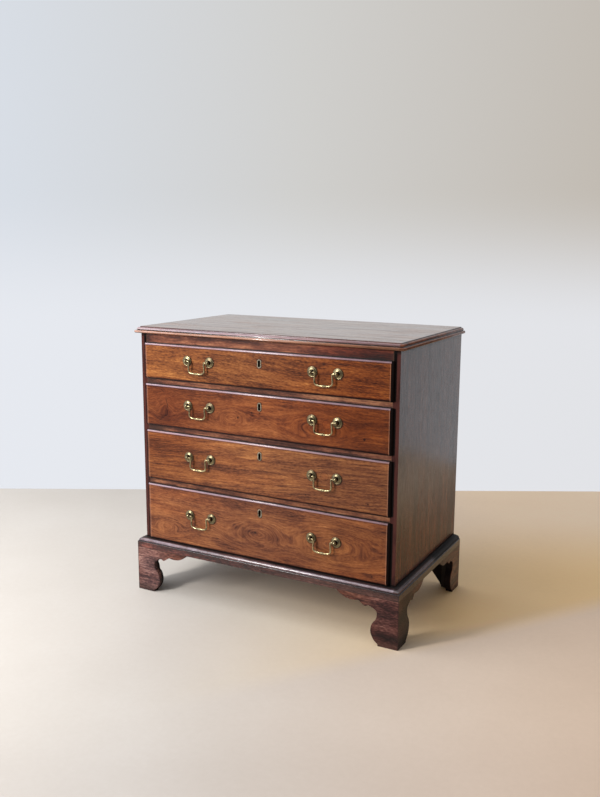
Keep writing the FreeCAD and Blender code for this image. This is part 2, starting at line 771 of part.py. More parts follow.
def make_drawer(i):
    pre = "drawer_%d_" % i
    h = S("open_%d" % i)
    z = FLOOR[i]
    tongue_w = INNER - S("side_gap")
    lip_x = INNER + S("lip_side")
    lip_z0 = -S("lip_over")
    lip_z1 = h + S("lip_over")
    key_z = lip_z1 - S("key_drop")
    hand_z = h / 2 + S("handle_up")
    t_t = S("tongue_t")
    top_z = h - S("front_gap")
    depth = S("drawer_d")

    # --- bottom -----------------------------------------------------------
    inner_x = tongue_w - S("dside_t")
    bottom = box(pre + "bottom", -(inner_x + S("dgroove") - 0.2), inner_x + S("dgroove") - 0.2,
                 FRONT + t_t - 5, FRONT + depth, z + S("dbottom_up"), z + S("dbottom_up") + S("dbottom_t"))

    # --- sides, with dovetails at both ends --------------------------------
    b = body(pre + "side_blank", -tongue_w, FRONT, z)
    low = S("run_gap")
    high = h - S("box_drop")
    n = TAILS[i]
    pitch = (high - low) / n
    tip = S("tail_splay")
    front_pts = []
    rear_pts = []
    for k in range(n):
        c = low + pitch * (k + 0.5)
        a = pitch * 0.31
        front_pts += [(t_t, c - a), (t_t - S("tail_l"), c - a - tip),
                      (t_t - S("tail_l"), c + a + tip), (t_t, c + a)]
        rear_pts += [(depth - S("dback_t"), c - a), (depth, c - a - tip),
                     (depth, c + a + tip), (depth - S("dback_t"), c + a)]
    sk = sketch(b, "tails", "YZ_Plane")
    outline(sk, [(t_t, low)] + front_pts + [(t_t, high), (depth - S("dback_t"), high)]
            + list(reversed(rear_pts)) + [(depth - S("dback_t"), low)])
    pad(b, "pad", sk, S("dside_t"))
    side_l = b
    side_r = mirror(pre + "side_blank_right", b)
    sides = group(pre + "side_pair", [side_l, side_r])
    node(cut(pre + "sides", sides, bottom))

    # --- back ---------------------------------------------------------------
    back = box(pre + "back_blank", -tongue_w, tongue_w, FRONT + depth - S("dback_t"), FRONT + depth,
               z + S("dbottom_up") + S("dbottom_t"), z + h - S("box_drop") - 3)
    node(cut(pre + "back", back, sides))
    node(bottom)

    # --- front --------------------------------------------------------------
    b = body(pre + "front_blank", 0, FRONT, z)
    sk = sketch(b, "lip", "XZ_Plane", lift=S("lip_gap"))
    rectangle(sk, -lip_x, lip_x, lip_z0, lip_z1)
    pad(b, "lip_pad", sk, S("lip_t") - S("lip_gap"))
    sk = sketch(b, "tongue", "XZ_Plane", lift=S("lip_gap"))
    rectangle(sk, -tongue_w, tongue_w, S("run_gap") + 0.2, top_z)
    pad(b, "tongue_pad", sk, t_t + S("lip_gap"), back=True)
    sk = sketch(b, "mould_long", "YZ_Plane")
    outline(sk, [(p[1], p[0]) if len(p) == 2 else (p[1], p[0], p[3], p[2])
                 for p in lip_negative(lip_z1, 1)], S("lip_mould"))
    outline(sk, [(p[1], p[0]) if len(p) == 2 else (p[1], p[0], p[3], p[2])
                 for p in lip_negative(lip_z0, -1)], S("lip_mould"))
    pocket(b, "mould_long_cut", sk, lip_x * 2.4, both=True)
    sk = sketch(b, "mould_ends", "XY_Plane")
    outline(sk, lip_negative(lip_x, 1), S("lip_mould"))
    outline(sk, lip_negative(-lip_x, -1), S("lip_mould"))
    pocket(b, "mould_ends_cut", sk, h * 4, both=True)
    # seat of the escutcheon and the hole behind it
    sk = sketch(b, "scut_seat", "XZ_Plane", lift=S("lip_t"))
    slot_outline(sk, q(0), key_z, S("scut_w"), S("scut_h"))
    pocket(b, "scut_cut", sk, S("scut_d"))
    sk = sketch(b, "key_slot", "XZ_Plane", lift=S("lip_t"))
    slot_outline(sk, q(0), key_z, S("scut_w") * 0.62, S("scut_h") * 0.74)
    pocket(b, "key_slot_cut", sk, S("lip_t") + t_t)
    # recess of the lock: case, plate and selvedge
    case_y = t_t - S("lock_plate") - S("case_d")
    sk = sketch(b, "lock_case", "XZ_Plane", lift=-t_t)
    rectangle(sk, -(S("case_w") / 2), S("case_w") / 2, top_z - S("lock_h") + 4, top_z + 6)
    pocket(b, "lock_case_cut", sk, t_t - case_y, back=True)
    sk = sketch(b, "lock_plate", "XZ_Plane", lift=-t_t)
    rectangle(sk, -(S("lock_w") / 2), S("lock_w") / 2, top_z - S("lock_h"), top_z + 6)
    pocket(b, "lock_plate_cut", sk, S("lock_plate"), back=True)
    sk = sketch(b, "selvedge", "XZ_Plane", lift=-t_t)
    rectangle(sk, -(S("lock_w") / 2), S("lock_w") / 2, top_z - 2.5, top_z + 6)
    pocket(b, "selvedge_cut", sk, t_t - case_y, back=True)
    # pilot holes of the lock screws, and the holes of the handle posts
    sk = sketch(b, "screw_holes", "XZ_Plane", lift=-t_t)
    for sx in (-1, 1):
        for zz in (top_z - 10, top_z - S("lock_h") + 7):
            circle(sk, (S("lock_w") / 2 - 4) * sx, zz, S("screw_r"))
    pocket(b, "screw_cut", sk, 10, back=True)
    sk = sketch(b, "post_holes", "XZ_Plane", lift=-t_t)
    for sx in (-1, 1):
        for sp in (-1, 1):
            circle(sk, S("handle_x") * sx + S("post_pitch") / 2 * sp, hand_z, S("shank_r"))
    pocket(b, "post_cut", sk, (S("lip_t") + t_t) * 1.2, back=True)
    front = cut(pre + "front", b, group(pre + "front_joints", [sides, bottom]))
    node(front)

    # --- escutcheon ---------------------------------------------------------
    b = body(pre + "escutcheon", 0, FRONT, z)
    sk = sketch(b, "rim", "XZ_Plane", lift=S("lip_t") - S("scut_d"))
    slot_outline(sk, q(0), key_z, S("scut_w"), S("scut_h"))
    pad(b, "rim_pad", sk, S("scut_d") + S("scut_proud"))
    sk = sketch(b, "keyhole", "XZ_Plane", lift=S("lip_t") + S("scut_proud") + 1)
    keyhole_outline(sk, key_z)
    pocket(b, "keyhole_cut", sk, S("scut_d") + S("scut_proud") + 3)
    node(b)

    # --- lock: plate, open case and selvedge in one casting, with its screws -
    b = body(pre + "lock_case", 0, FRONT, z)
    sk = sketch(b, "plate", "XZ_Plane", lift=-t_t)
    rectangle(sk, -(S("lock_w") / 2), S("lock_w") / 2, top_z - S("lock_h"), top_z)
    pad(b, "plate_pad", sk, S("lock_plate"))
    sk = sketch(b, "case", "XZ_Plane", lift=-(t_t - S("lock_plate")))
    rectangle(sk, -(S("case_w") / 2), S("case_w") / 2, top_z - S("lock_h") + 4, top_z)
    pad(b, "case_pad", sk, S("case_d"))
    sk = sketch(b, "lid", "XZ_Plane", lift=-(t_t - S("lock_plate")))
    rectangle(sk, -(S("lock_w") / 2), S("lock_w") / 2, top_z - 2.5, top_z)
    pad(b, "lid_pad", sk, S("case_d"))
    sk = sketch(b, "hollow", "XZ_Plane", lift=-case_y)
    wall = S("case_wall")
    rectangle(sk, -(S("case_w") / 2 - wall), S("case_w") / 2 - wall,
              top_z - S("lock_h") + 4 + wall, top_z - 2.5)
    pocket(b, "hollow_cut", sk, S("case_d") - 0.6)
    sk = sketch(b, "bolt_slot", "XY_Plane", lift=top_z + 1)
    rectangle(sk, -(S("bolt_w") / 2 + 0.4), S("bolt_w") / 2 + 0.4,
              BOLT_Y - S("bolt_t") / 2 - 0.3, BOLT_Y + S("bolt_t") / 2 + 0.3)
    pocket(b, "bolt_slot_cut", sk, 5)
    sk = sketch(b, "plate_holes", "XZ_Plane", lift=-t_t - 1)
    for sx in (-1, 1):
        for zz in (top_z - 10, top_z - S("lock_h") + 7):
            circle(sk, (S("lock_w") / 2 - 4) * sx, zz, S("screw_r"))
    pocket(b, "plate_holes_cut", sk, 4, back=True)
    case = b
    screws = []
    for k, zz in enumerate((top_z - 10, top_z - S("lock_h") + 7), start=1):
        s = body(pre + "lock_screw_%d" % k, S("lock_w") / 2 - 4, FRONT + t_t, z + zz)
        sk = sketch(s, "turned", "XY_Plane")
        outline(sk, [(q(0), q(-9.5)), (S("screw_r"), q(-8.5)), (S("screw_r"), q(0)), (q(2.6), q(0)),
                     (q(2.6), q(0.7)), (q(2.1), q(1.2)), (q(1.2), q(1.4)), (q(0), q(1.4))])
        revolve(s, "screw", sk, "V_Axis")
        screws += [s, mirror(pre + "lock_screw_%d_left" % k, s)]
    node(group(pre + "lock", [case] + screws))

    # --- lock bolt ------------------------------------------------------------
    b = body(pre + "lock_bolt", 0, FRONT + BOLT_Y, z)
    sk = sketch(b, "bolt", "XZ_Plane")
    bx = S("bolt_w") / 2
    wide = S("case_w") / 2 - S("case_wall") - 6
    outline(sk, [(-bx, top_z - 0.3), (-bx, top_z - 14), (-wide, top_z - 14), (-wide, top_z - 22),
                 (wide, top_z - 22), (wide, top_z - 14), (bx, top_z - 14), (bx, top_z - 0.3)])
    pad(b, "bolt_pad", sk, S("bolt_t"), both=True)
    node(b)

    # --- handle posts, roses and nuts ------------------------------------------
    post_x = -(S("handle_x") + S("post_pitch") / 2)
    face = -S("lip_t")
    pivot = -(S("lip_t") + S("post_out"))
    hr = S("head_r")
    neck = hr * 0.6
    # where the neck meets the ball head
    meet = pivot + hr * 0.8
    b = body(pre + "post", post_x, FRONT, z + hand_z)
    sk = sketch(b, "turned", "XY_Plane")
    outline(sk, [(q(0), pivot - hr, hr, pivot), (neck, meet), (neck, face - 4),
                 (S("shank_r"), face - 3), (S("shank_r"), t_t + 5.5), (S("shank_r") - 0.8, t_t + 6.3),
                 (q(0), t_t + 6.3)], hr)
    revolve(b, "turn", sk, "V_Axis")
    sk = sketch(b, "bore", "YZ_Plane", lift=hr + 1)
    circle(sk, pivot, q(0), S("bore_r"))
    pocket(b, "bore_cut", sk, hr * 1.4 + 1)
    post = b
    b = body(pre + "rose", post_x, FRONT, z + hand_z)
    sk = sketch(b, "turned", "XY_Plane")
    rr = S("rose_r")
    outline(sk, [(S("shank_r"), face), (rr, face), (rr, face - 1.0, rr - 0.5, face - 2.0),
                 (rr - 1.6, face - 2.3), (rr - 2.5, face - 1.7, rr * 0.62, face - 3.5),
                 (neck + 1.2, face - 4.1), (neck + 1.2, face - 4.7), (neck, face - 4.7),
                 (neck, face - 4), (S("shank_r"), face - 3)], rr)
    revolve(b, "turn", sk, "V_Axis")
    rose = b
    b = body(pre + "nut", post_x, FRONT, z + hand_z)
    sk = sketch(b, "square", "XZ_Plane", lift=-t_t)
    nw = S("nut_w") / 2
    outline(sk, [(-nw, -nw * 0.55), (-nw * 0.55, -nw), (nw * 0.55, -nw), (nw, -nw * 0.55),
                 (nw, nw * 0.55), (nw * 0.55, nw), (-nw * 0.55, nw), (-nw, nw * 0.55)])
    circle(sk, q(0), q(0), S("shank_r"))
    pad(b, "nut_pad", sk, S("nut_t"), back=True)
    nut = b
    one = group(pre + "post_set", [post, rose, nut])
    pair = group(pre + "post_pair", [one, mirror(pre + "post_set_inner", one, -S("handle_x"))])
    node(group(pre + "handle_posts", [pair, mirror(pre + "post_pair_right", pair)]))

    # --- bails -----------------------------------------------------------------
    b = body(pre + "bail_left", -S("handle_x"), FRONT + pivot, z + hand_z)
    end = S("post_pitch") / 2 - hr * 0.4
    wire_end = S("post_pitch") / 2 - hr - 0.35
    w, nk, d = S("bail_w"), S("bail_neck"), S("bail_drop")
    verts = [(-wire_end, q(0)), (-nk, q(0)), (-(nk + 0.2), q(-9.0)), (-w, q(-20.5)), (-(w + 0.1), -(d - 2.7)),
             (q(-11.5), -d), (q(11.5), -d), (w + 0.1, -(d - 2.7)), (w, q(-20.5)), (nk + 0.2, q(-9.0)),
             (nk, q(0)), (wire_end, q(0))]
    radii = [3.5, 16.0, 18.0, 9.4, 25.0, 25.0, 9.4, 18.0, 16.0, 3.5]
    path = sketch(b, "path", "XZ_Plane")
    edges = tangent_path(path, verts, radii)
    ring = sketch(b, "ring", "YZ_Plane", lift=-wire_end)
    circle(ring, q(0), q(0), S("wire_r"))
    pipe = b.newObject("PartDesign::AdditivePipe", b.Name + "_wire")
    pipe.Profile = ring
    pipe.Spine = (path, edges)
    b.Tip = pipe
    sk = sketch(b, "pin_a", "YZ_Plane", lift=-end)
    circle(sk, q(0), q(0), S("pin_r"))
    pad(b, "pin_a_pad", sk, end - wire_end + 0.5)
    sk = sketch(b, "pin_b", "YZ_Plane", lift=end)
    circle(sk, q(0), q(0), S("pin_r"))
    pad(b, "pin_b_pad", sk, end - wire_end + 0.5, back=True)
    sk = sketch(b, "knop", "XZ_Plane", shift_y=-d)
    k = S("knop_r")
    wr = S("wire_r")
    outline(sk, [(q(-9.3), q(0)), (q(-9.3), wr * 0.9), (q(-2.2), k * 0.90), (q(-1.5), k * 0.80),
                 (q(-0.9), k), (q(0.9), k), (q(1.5), k * 0.80), (q(2.2), k * 0.90),
                 (q(9.3), wr * 0.9), (q(9.3), q(0))])
    revolve(b, "knop_turn", sk, "H_Axis")
    node(b)
    node(mirror(pre + "bail_right", b))


for i in (1, 2, 3, 4):
    make_drawer(i)


# ---------------------------------------------------------------------------
# Recompute, check and write
# ---------------------------------------------------------------------------
doc.recompute()

faults = []
for obj in doc.Objects:
    if "Invalid" in obj.State or "Error" in obj.State:
        faults.append("%s is %s" % (obj.Name, obj.State))
for obj in doc.Objects:
    if obj.TypeId == "PartDesign::Pocket" and obj.BaseFeature is not None:
        if obj.Shape.isNull() or obj.BaseFeature.Shape.isNull():
            faults.append("%s has no shape" % obj.Name)
            continue
        before = obj.BaseFeature.Shape.Volume
        after = obj.Shape.Volume
        if not after < before - 1e-3:
            faults.append("%s cuts nothing" % obj.Name)
for obj in NODES:
    shape = obj.Shape
    if shape.isNull():
        faults.append("%s has no shape" % obj.Label)
    elif not shape.isValid():
        faults.append("%s is not valid" % obj.Label)
    elif len(shape.Solids) < 1:
        faults.append("%s has no solid" % obj.Label)
names = [obj.Label for obj in NODES]
if len(set(names)) != len(names):
    faults.append("two nodes share a name")
if faults:
    raise SystemExit("\n".join(faults))

os.makedirs("parts", exist_ok=True)
for obj in NODES:
    obj.Shape.exportStep(os.path.join("parts", obj.Label + ".step"))

print("nodes", len(NODES))
low = [1e9] * 3
high = [-1e9] * 3
for obj in NODES:
    bb = obj.Shape.BoundBox
    for k, (a, c) in enumerate(((bb.XMin, bb.XMax), (bb.YMin, bb.YMax), (bb.ZMin, bb.ZMax))):
        low[k] = min(low[k], a)
        high[k] = max(high[k], c)
    print("%-24s solids %2d volume %.0f" % (obj.Label, len(obj.Shape.Solids), obj.Shape.Volume))
print("box", [round(v, 3) for v in low], [round(v, 3) for v in high])
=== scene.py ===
import math

import bpy
from mathutils import Matrix, Vector


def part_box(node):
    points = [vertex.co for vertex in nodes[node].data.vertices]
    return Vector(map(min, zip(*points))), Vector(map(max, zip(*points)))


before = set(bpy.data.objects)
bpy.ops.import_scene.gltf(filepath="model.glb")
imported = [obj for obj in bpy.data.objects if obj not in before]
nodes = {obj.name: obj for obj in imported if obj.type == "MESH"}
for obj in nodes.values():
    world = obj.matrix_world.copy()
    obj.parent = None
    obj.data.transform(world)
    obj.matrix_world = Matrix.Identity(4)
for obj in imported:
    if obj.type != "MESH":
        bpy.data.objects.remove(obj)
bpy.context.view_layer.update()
scene = bpy.context.scene

# where the drawer faces and the carcase front lie
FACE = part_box("drawer_1_front")[0].y
CASE = FACE + 0.009
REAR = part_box("back_boards")[1].y
TOP_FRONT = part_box("top_board")[0].y
BASE_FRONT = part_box("base_moulding_front")[0].y


# ---------------------------------------------------------------- formulas as nodes

class Val:
    """A number that varies over the surface."""

    def __init__(self, net, socket):
        self.net, self.socket = net, socket

    def __add__(self, o):
        return self.net.math("ADD", self, o)

    __radd__ = __add__

    def __sub__(self, o):
        return self.net.math("SUBTRACT", self, o)

    def __rsub__(self, o):
        return self.net.math("SUBTRACT", o, self)

    def __mul__(self, o):
        return self.net.math("MULTIPLY", self, o)

    __rmul__ = __mul__

    def __truediv__(self, o):
        return self.net.math("DIVIDE", self, o)

    def __neg__(self):
        return self.net.math("MULTIPLY", self, -1.0)

    def __abs__(self):
        return self.net.math("ABSOLUTE", self)


class Net:
    """A material, with its node tree written as formulas. x, y and z are in metres, on the piece itself."""

    def __init__(self, name):
        self.mat = bpy.data.materials.new(name)
        self.mat.use_nodes = True
        self.tree = self.mat.node_tree
        self.tree.nodes.clear()
        self.out = self.tree.nodes.new("ShaderNodeOutputMaterial")
        coords = self.tree.nodes.new("ShaderNodeTexCoord")
        parts = self.new("ShaderNodeSeparateXYZ", coords.outputs["Object"])
        self.x, self.y, self.z = (Val(self, s) for s in parts.outputs)
        self.normal = Val(self, coords.outputs["Normal"])

    def put(self, socket, v):
        if v is None:
            return
        if isinstance(v, Val):
            v = v.socket
        if isinstance(v, bpy.types.NodeSocket):
            self.tree.links.new(v, socket)
        else:
            socket.default_value = v

    def new(self, kind, *values, **settings):
        node = self.tree.nodes.new(kind)
        for k, v in settings.items():
            setattr(node, k, v)
        for socket, v in zip(node.inputs, values):
            self.put(socket, v)
        return node

    def math(self, op, a, b=None, c=None):
        return Val(self, self.new("ShaderNodeMath", a, b, c, operation=op).outputs[0])

    def least(self, a, b):
        return self.math("MINIMUM", a, b)

    def most(self, a, b):
        return self.math("MAXIMUM", a, b)

    def clamp(self, a):
        return self.least(self.most(a, 0.0), 1.0)

    def step(self, v, low, high):
        """0 below low, 1 above high, smooth between."""
        node = self.new(
            "ShaderNodeMapRange", v, low, high, 0.0, 1.0, interpolation_type="SMOOTHSTEP"
        )
        return Val(self, node.outputs[0])

    def vec(self, x, y, z):
        return Val(self, self.new("ShaderNodeCombineXYZ", x, y, z).outputs[0])

    def apart(self, v):
        return [Val(self, s) for s in self.new("ShaderNodeSeparateXYZ", v).outputs]

    def noise(self, v, detail=2.0, rough=0.5, warp=0.0):
        """Soft noise about 0, mostly within 0.25 of it."""
        node = self.tree.nodes.new("ShaderNodeTexNoise")
        node.noise_dimensions = "3D"
        self.put(node.inputs["Vector"], v)
        for k, value in (
            ("Scale", 1.0),
            ("Detail", detail),
            ("Roughness", rough),
            ("Distortion", warp),
        ):
            node.inputs[k].default_value = value
        return Val(self, node.outputs[0]) - 0.5

    def spots(self, v, size=0.5, jitter=1.0):
        """The distance to the nearest of scattered points, one in each unit cell."""
        node = self.tree.nodes.new("ShaderNodeTexVoronoi")
        self.put(node.inputs["Vector"], v)
        node.inputs["Scale"].default_value = 1.0
        node.inputs["Randomness"].default_value = jitter
        return Val(self, node.outputs["Distance"])

    def blob(self, u, v, cu, cv, ru, rv):
        """1 at (cu, cv), falling off to 0 over the radii."""
        a = self.math("MULTIPLY_ADD", u, 1.0 / ru, -cu / ru)
        b = self.math("MULTIPLY_ADD", v, 1.0 / rv, -cv / rv)
        return self.math("POWER", 0.36788, self.math("MULTIPLY_ADD", a, a, b * b))

    def away(self, u, v, cu, cv):
        """The distance from (cu, cv)."""
        a, b = u - cu, v - cv
        return self.math("SQRT", self.math("MULTIPLY_ADD", a, a, b * b))

    def from_line(self, u, v, u0, v0, u1, v1):
        """The distance from the line between two points."""
        du, dv = u1 - u0, v1 - v0
        length = du * du + dv * dv
        t = self.clamp(((u - u0) * du + (v - v0) * dv) * (1.0 / length))
        a, b = u - (t * du + u0), v - (t * dv + v0)
        return self.math("SQRT", self.math("MULTIPLY_ADD", a, a, b * b))

    def ramp(self, t, stops):
        node = self.tree.nodes.new("ShaderNodeValToRGB")
        self.put(node.inputs[0], t)
        ramp = node.color_ramp
        while len(ramp.elements) < len(stops):
            ramp.elements.new(0.5)
        for e, (p, c) in zip(ramp.elements, stops):
            e.position, e.color = p, (*c, 1.0)
        return Val(self, node.outputs[0])

    def mix(self, t, a, b, how="MIX"):
        node = self.tree.nodes.new("ShaderNodeMix")
        node.data_type, node.blend_type, node.clamp_factor = "RGBA", how, True
        for socket, v in ((0, t), (6, a), (7, b)):
            if isinstance(v, tuple):
                v = (*v, 1.0)
            self.put(node.inputs[socket], v)
        return Val(self, node.outputs[2])

    def bump(self, height, normal=None):
        """The shading normal for a height in metres."""
        node = self.tree.nodes.new("ShaderNodeBump")
        node.inputs["Strength"].default_value = 1.0
        node.inputs["Distance"].default_value = 1.0
        self.put(node.inputs["Height"], height)
        self.put(node.inputs["Normal"], normal)
        return Val(self, node.outputs[0])

    def finish(self, **inputs):
        """The shader. Each input's name is the shader's, with _ for a space."""
        shader = self.tree.nodes.new("ShaderNodeBsdfPrincipled")
        for k, v in inputs.items():
            if isinstance(v, tuple):
                v = (*v, 1.0)
            self.put(shader.inputs[k.replace("_", " ")], v)
        self.tree.links.new(shader.outputs[0], self.out.inputs["Surface"])
        return self.mat


# ---------------------------------------------------------------- mahogany

FRONT_TONES = [
    (0.00, (0.014, 0.005, 0.004)),
    (0.22, (0.055, 0.017, 0.008)),
    (0.42, (0.150, 0.046, 0.016)),
    (0.58, (0.235, 0.078, 0.023)),
    (0.78, (0.350, 0.130, 0.037)),
    (1.00, (0.500, 0.230, 0.075)),
]


def mahogany(
    name,
    lie,
    tones=FRONT_TONES,
    seed=0.0,
    eyes=(),
    knots=(),
    tone_and_shade_washes=(),
    clouds=(),
    pins=(),
    rings=(),
    cracks=(),
    slope=0.0,
    wander=0.010,
    bands=0.9,
    stripes=0.8,
    lines=0.5,
    mottle=0.5,
    level=0.5,
    tint=None,
    extra=None,
    gloss=0.30,
    wave=0.00016,
    coat=0.04,
    coat_rough=0.16,
    specular=0.22,
    long=1.0,
    flecks=0.35,
    speck=0.40,
):
    """lie gives the directions along the grain, across it on the face, and through the board."""
    n = Net(name)
    L, A, B = lie(n)
    # the grain wanders, and goes round its knots
    F = (
        A
        + n.noise(n.vec(L * 1.7 + seed, A * 3.0, B * 3.0), 1.0) * (wander * 2.4)
        + n.noise(n.vec(L * 8.0 + seed, A * 16.0, B * 16.0), 2.0) * (wander * 0.55)
    )
    if slope:
        F = F + L * slope
    for cu, cv, ru, rv, rise in eyes:
        F = F + n.blob(L, A, cu, cv, ru, rv) * rise
    # round a knot the streaks close into rings
    for cu, cv, ru, rv, amount in knots:
        d = n.away(
            (L - cu) * (1.0 / ru) + n.noise(n.vec(L * 14.0, A * 14.0, seed), 2.0) * 0.35,
            (A - cv) * (1.0 / rv),
            0.0,
            0.0,
        )
        F = F + (d * rv + (cv - 0.5 * rv) - F) * (n.step(d, 1.35, 0.55) * amount)
    big = n.noise(n.vec(L * (3.2 / long) + seed, F * 30.0, B * 30.0), 3.0, 0.55)
    mid = n.noise(n.vec(L * (11.0 / long) + seed, F * 170.0, B * 170.0), 3.0, 0.62)
    fine = n.noise(n.vec(L * (36.0 / long) + seed, F * 330.0, B * 330.0), 3.0, 0.65)
    cross = n.noise(n.vec(L * 13.0 + seed, A * 26.0, B * 26.0), 3.0, 0.55)
    # the finest figure is nearly as broad as it is long
    dust = n.noise(n.vec(L * 95.0 + seed, F * 350.0, B * 350.0), 1.0)
    t = level + big * bands + mid * stripes + fine * lines + cross * mottle + dust * speck
    # clouds of darker or lighter wood, with ragged ends along the grain
    if clouds:
        rag = n.noise(n.vec(L * 9.0 + seed, F * 60.0, 0.0), 3.0, 0.6)
        Lr, Ar = L + rag * 0.09, A + mid * 0.012
        for cu, cv, ru, rv, amount in clouds:
            t = t - n.blob(Lr, Ar, cu, cv, ru, rv) * (mid * 2.4 + 0.8) * (amount * 0.8)
    colour = n.ramp(t, tones)
    # short dark flecks in the soft part of the streaks
    if flecks:
        dash = n.noise(n.vec(L * (46.0 / long) + seed, F * 300.0 + L * 20.0, B * 300.0), 1.0)
        dash = n.step(dash + mid * 0.3, 0.10, 0.20)
        colour = n.mix(dash * flecks, colour, (0.36, 0.26, 0.26), "MULTIPLY")
    # redder and yellower patches
    hue = n.noise(n.vec(L * 3.0 + seed, F * 14.0, B * 14.0), 2.0)
    colour = n.mix(n.step(hue, 0.0, 0.22) * 0.45, colour, (1.0, 0.82, 0.72), "MULTIPLY")
    colour = n.mix(n.step(-hue, 0.0, 0.22) * 0.35, colour, (1.0, 1.12, 1.10), "MULTIPLY")
    # open pores: short dark dashes along the grain
    pore = n.step(
        n.noise(n.vec(L * 110.0 + seed, A * 1500.0, B * 1500.0), 1.0), 0.09, 0.17
    )
    colour = n.mix(pore * 0.5, colour, (0.42, 0.34, 0.30), "MULTIPLY")
    height = fine * 0.000012 - pore * 0.00003
    dark = None
    for cu, cv, r in pins:
        spot = n.step(n.away(L, A, cu, cv) + mid * 0.004, r * 1.25, r * 0.55)
        dark = spot if dark is None else n.most(dark, spot)
    for cu, cv, r in rings:
        d = n.away(L, A, cu, cv)
        edge = n.step(abs(d - r), 0.0016, 0.0004)
        colour = n.mix(edge * 0.45, colour, (0.30, 0.24, 0.22), "MULTIPLY")
        colour = n.mix(
            n.step(d, r, r - 0.001) * 0.35, colour, (1.22, 1.05, 0.95), "MULTIPLY"
        )
    for points, width, depth in cracks:
        for (u0, v0), (u1, v1) in zip(points, points[1:]):
            d = n.from_line(L + mid * 0.004, A + mid * 0.006, u0, v0, u1, v1)
            cut = n.step(d, width, width * 0.3) * depth
            dark = cut if dark is None else n.most(dark, cut)
    if dark is not None:
        colour = n.mix(dark * 0.88, colour, (0.016, 0.008, 0.006))
        height = height - dark * 0.0002
    rough = n.noise(n.vec(L * 6.0, A * 9.0, B * 9.0), 2.0) * 0.10 + pore * 0.18 + gloss
    if tint:
        colour = n.mix(1.0, colour, tint, "MULTIPLY")
    # broad patches made darker or paler: partly the wood's own tone, and partly painted light and shade falling off
    # across the piece, most of all darker at the right-hand ends, away from the window
    for cu, cv, ru, rv, shade in tone_and_shade_washes:
        colour = n.mix(n.blob(L, A, cu, cv, ru, rv), colour, shade, "MULTIPLY")
    if extra:
        colour, rough, height, coat = extra(n, L, A, B, F, mid, colour, rough, height, coat)
    # the board isn't dead flat, so its reflections waver
    waves = n.noise(n.vec(L * 7.0 + seed, A * 16.0, B * 16.0), 1.0) * wave
    normal = n.bump(height + waves)
    return n.finish(
        Base_Color=colour,
        Roughness=rough,
        Normal=normal,
        Coat_Weight=coat,
        Coat_Roughness=coat_rough,
        Coat_IOR=1.5,
        IOR=1.5,
        Specular_IOR_Level=specular,
    )


def along_x(n):
    return n.x, n.z, n.y


def along_z(n):
    return n.z, n.y, n.x


def top_lie(n):
    return n.x, n.y, n.z


def along_y(n):
    return n.y, n.z, n.x


DRAWER = {1: (0.6780, 0.7855), 2: (0.5345, 0.6620), 3: (0.3650, 0.5185), 4: (0.1715, 0.3490)}
PIVOT = {1: 0.74135, 2: 0.60785, 3: 0.45135, 4: 0.26985}


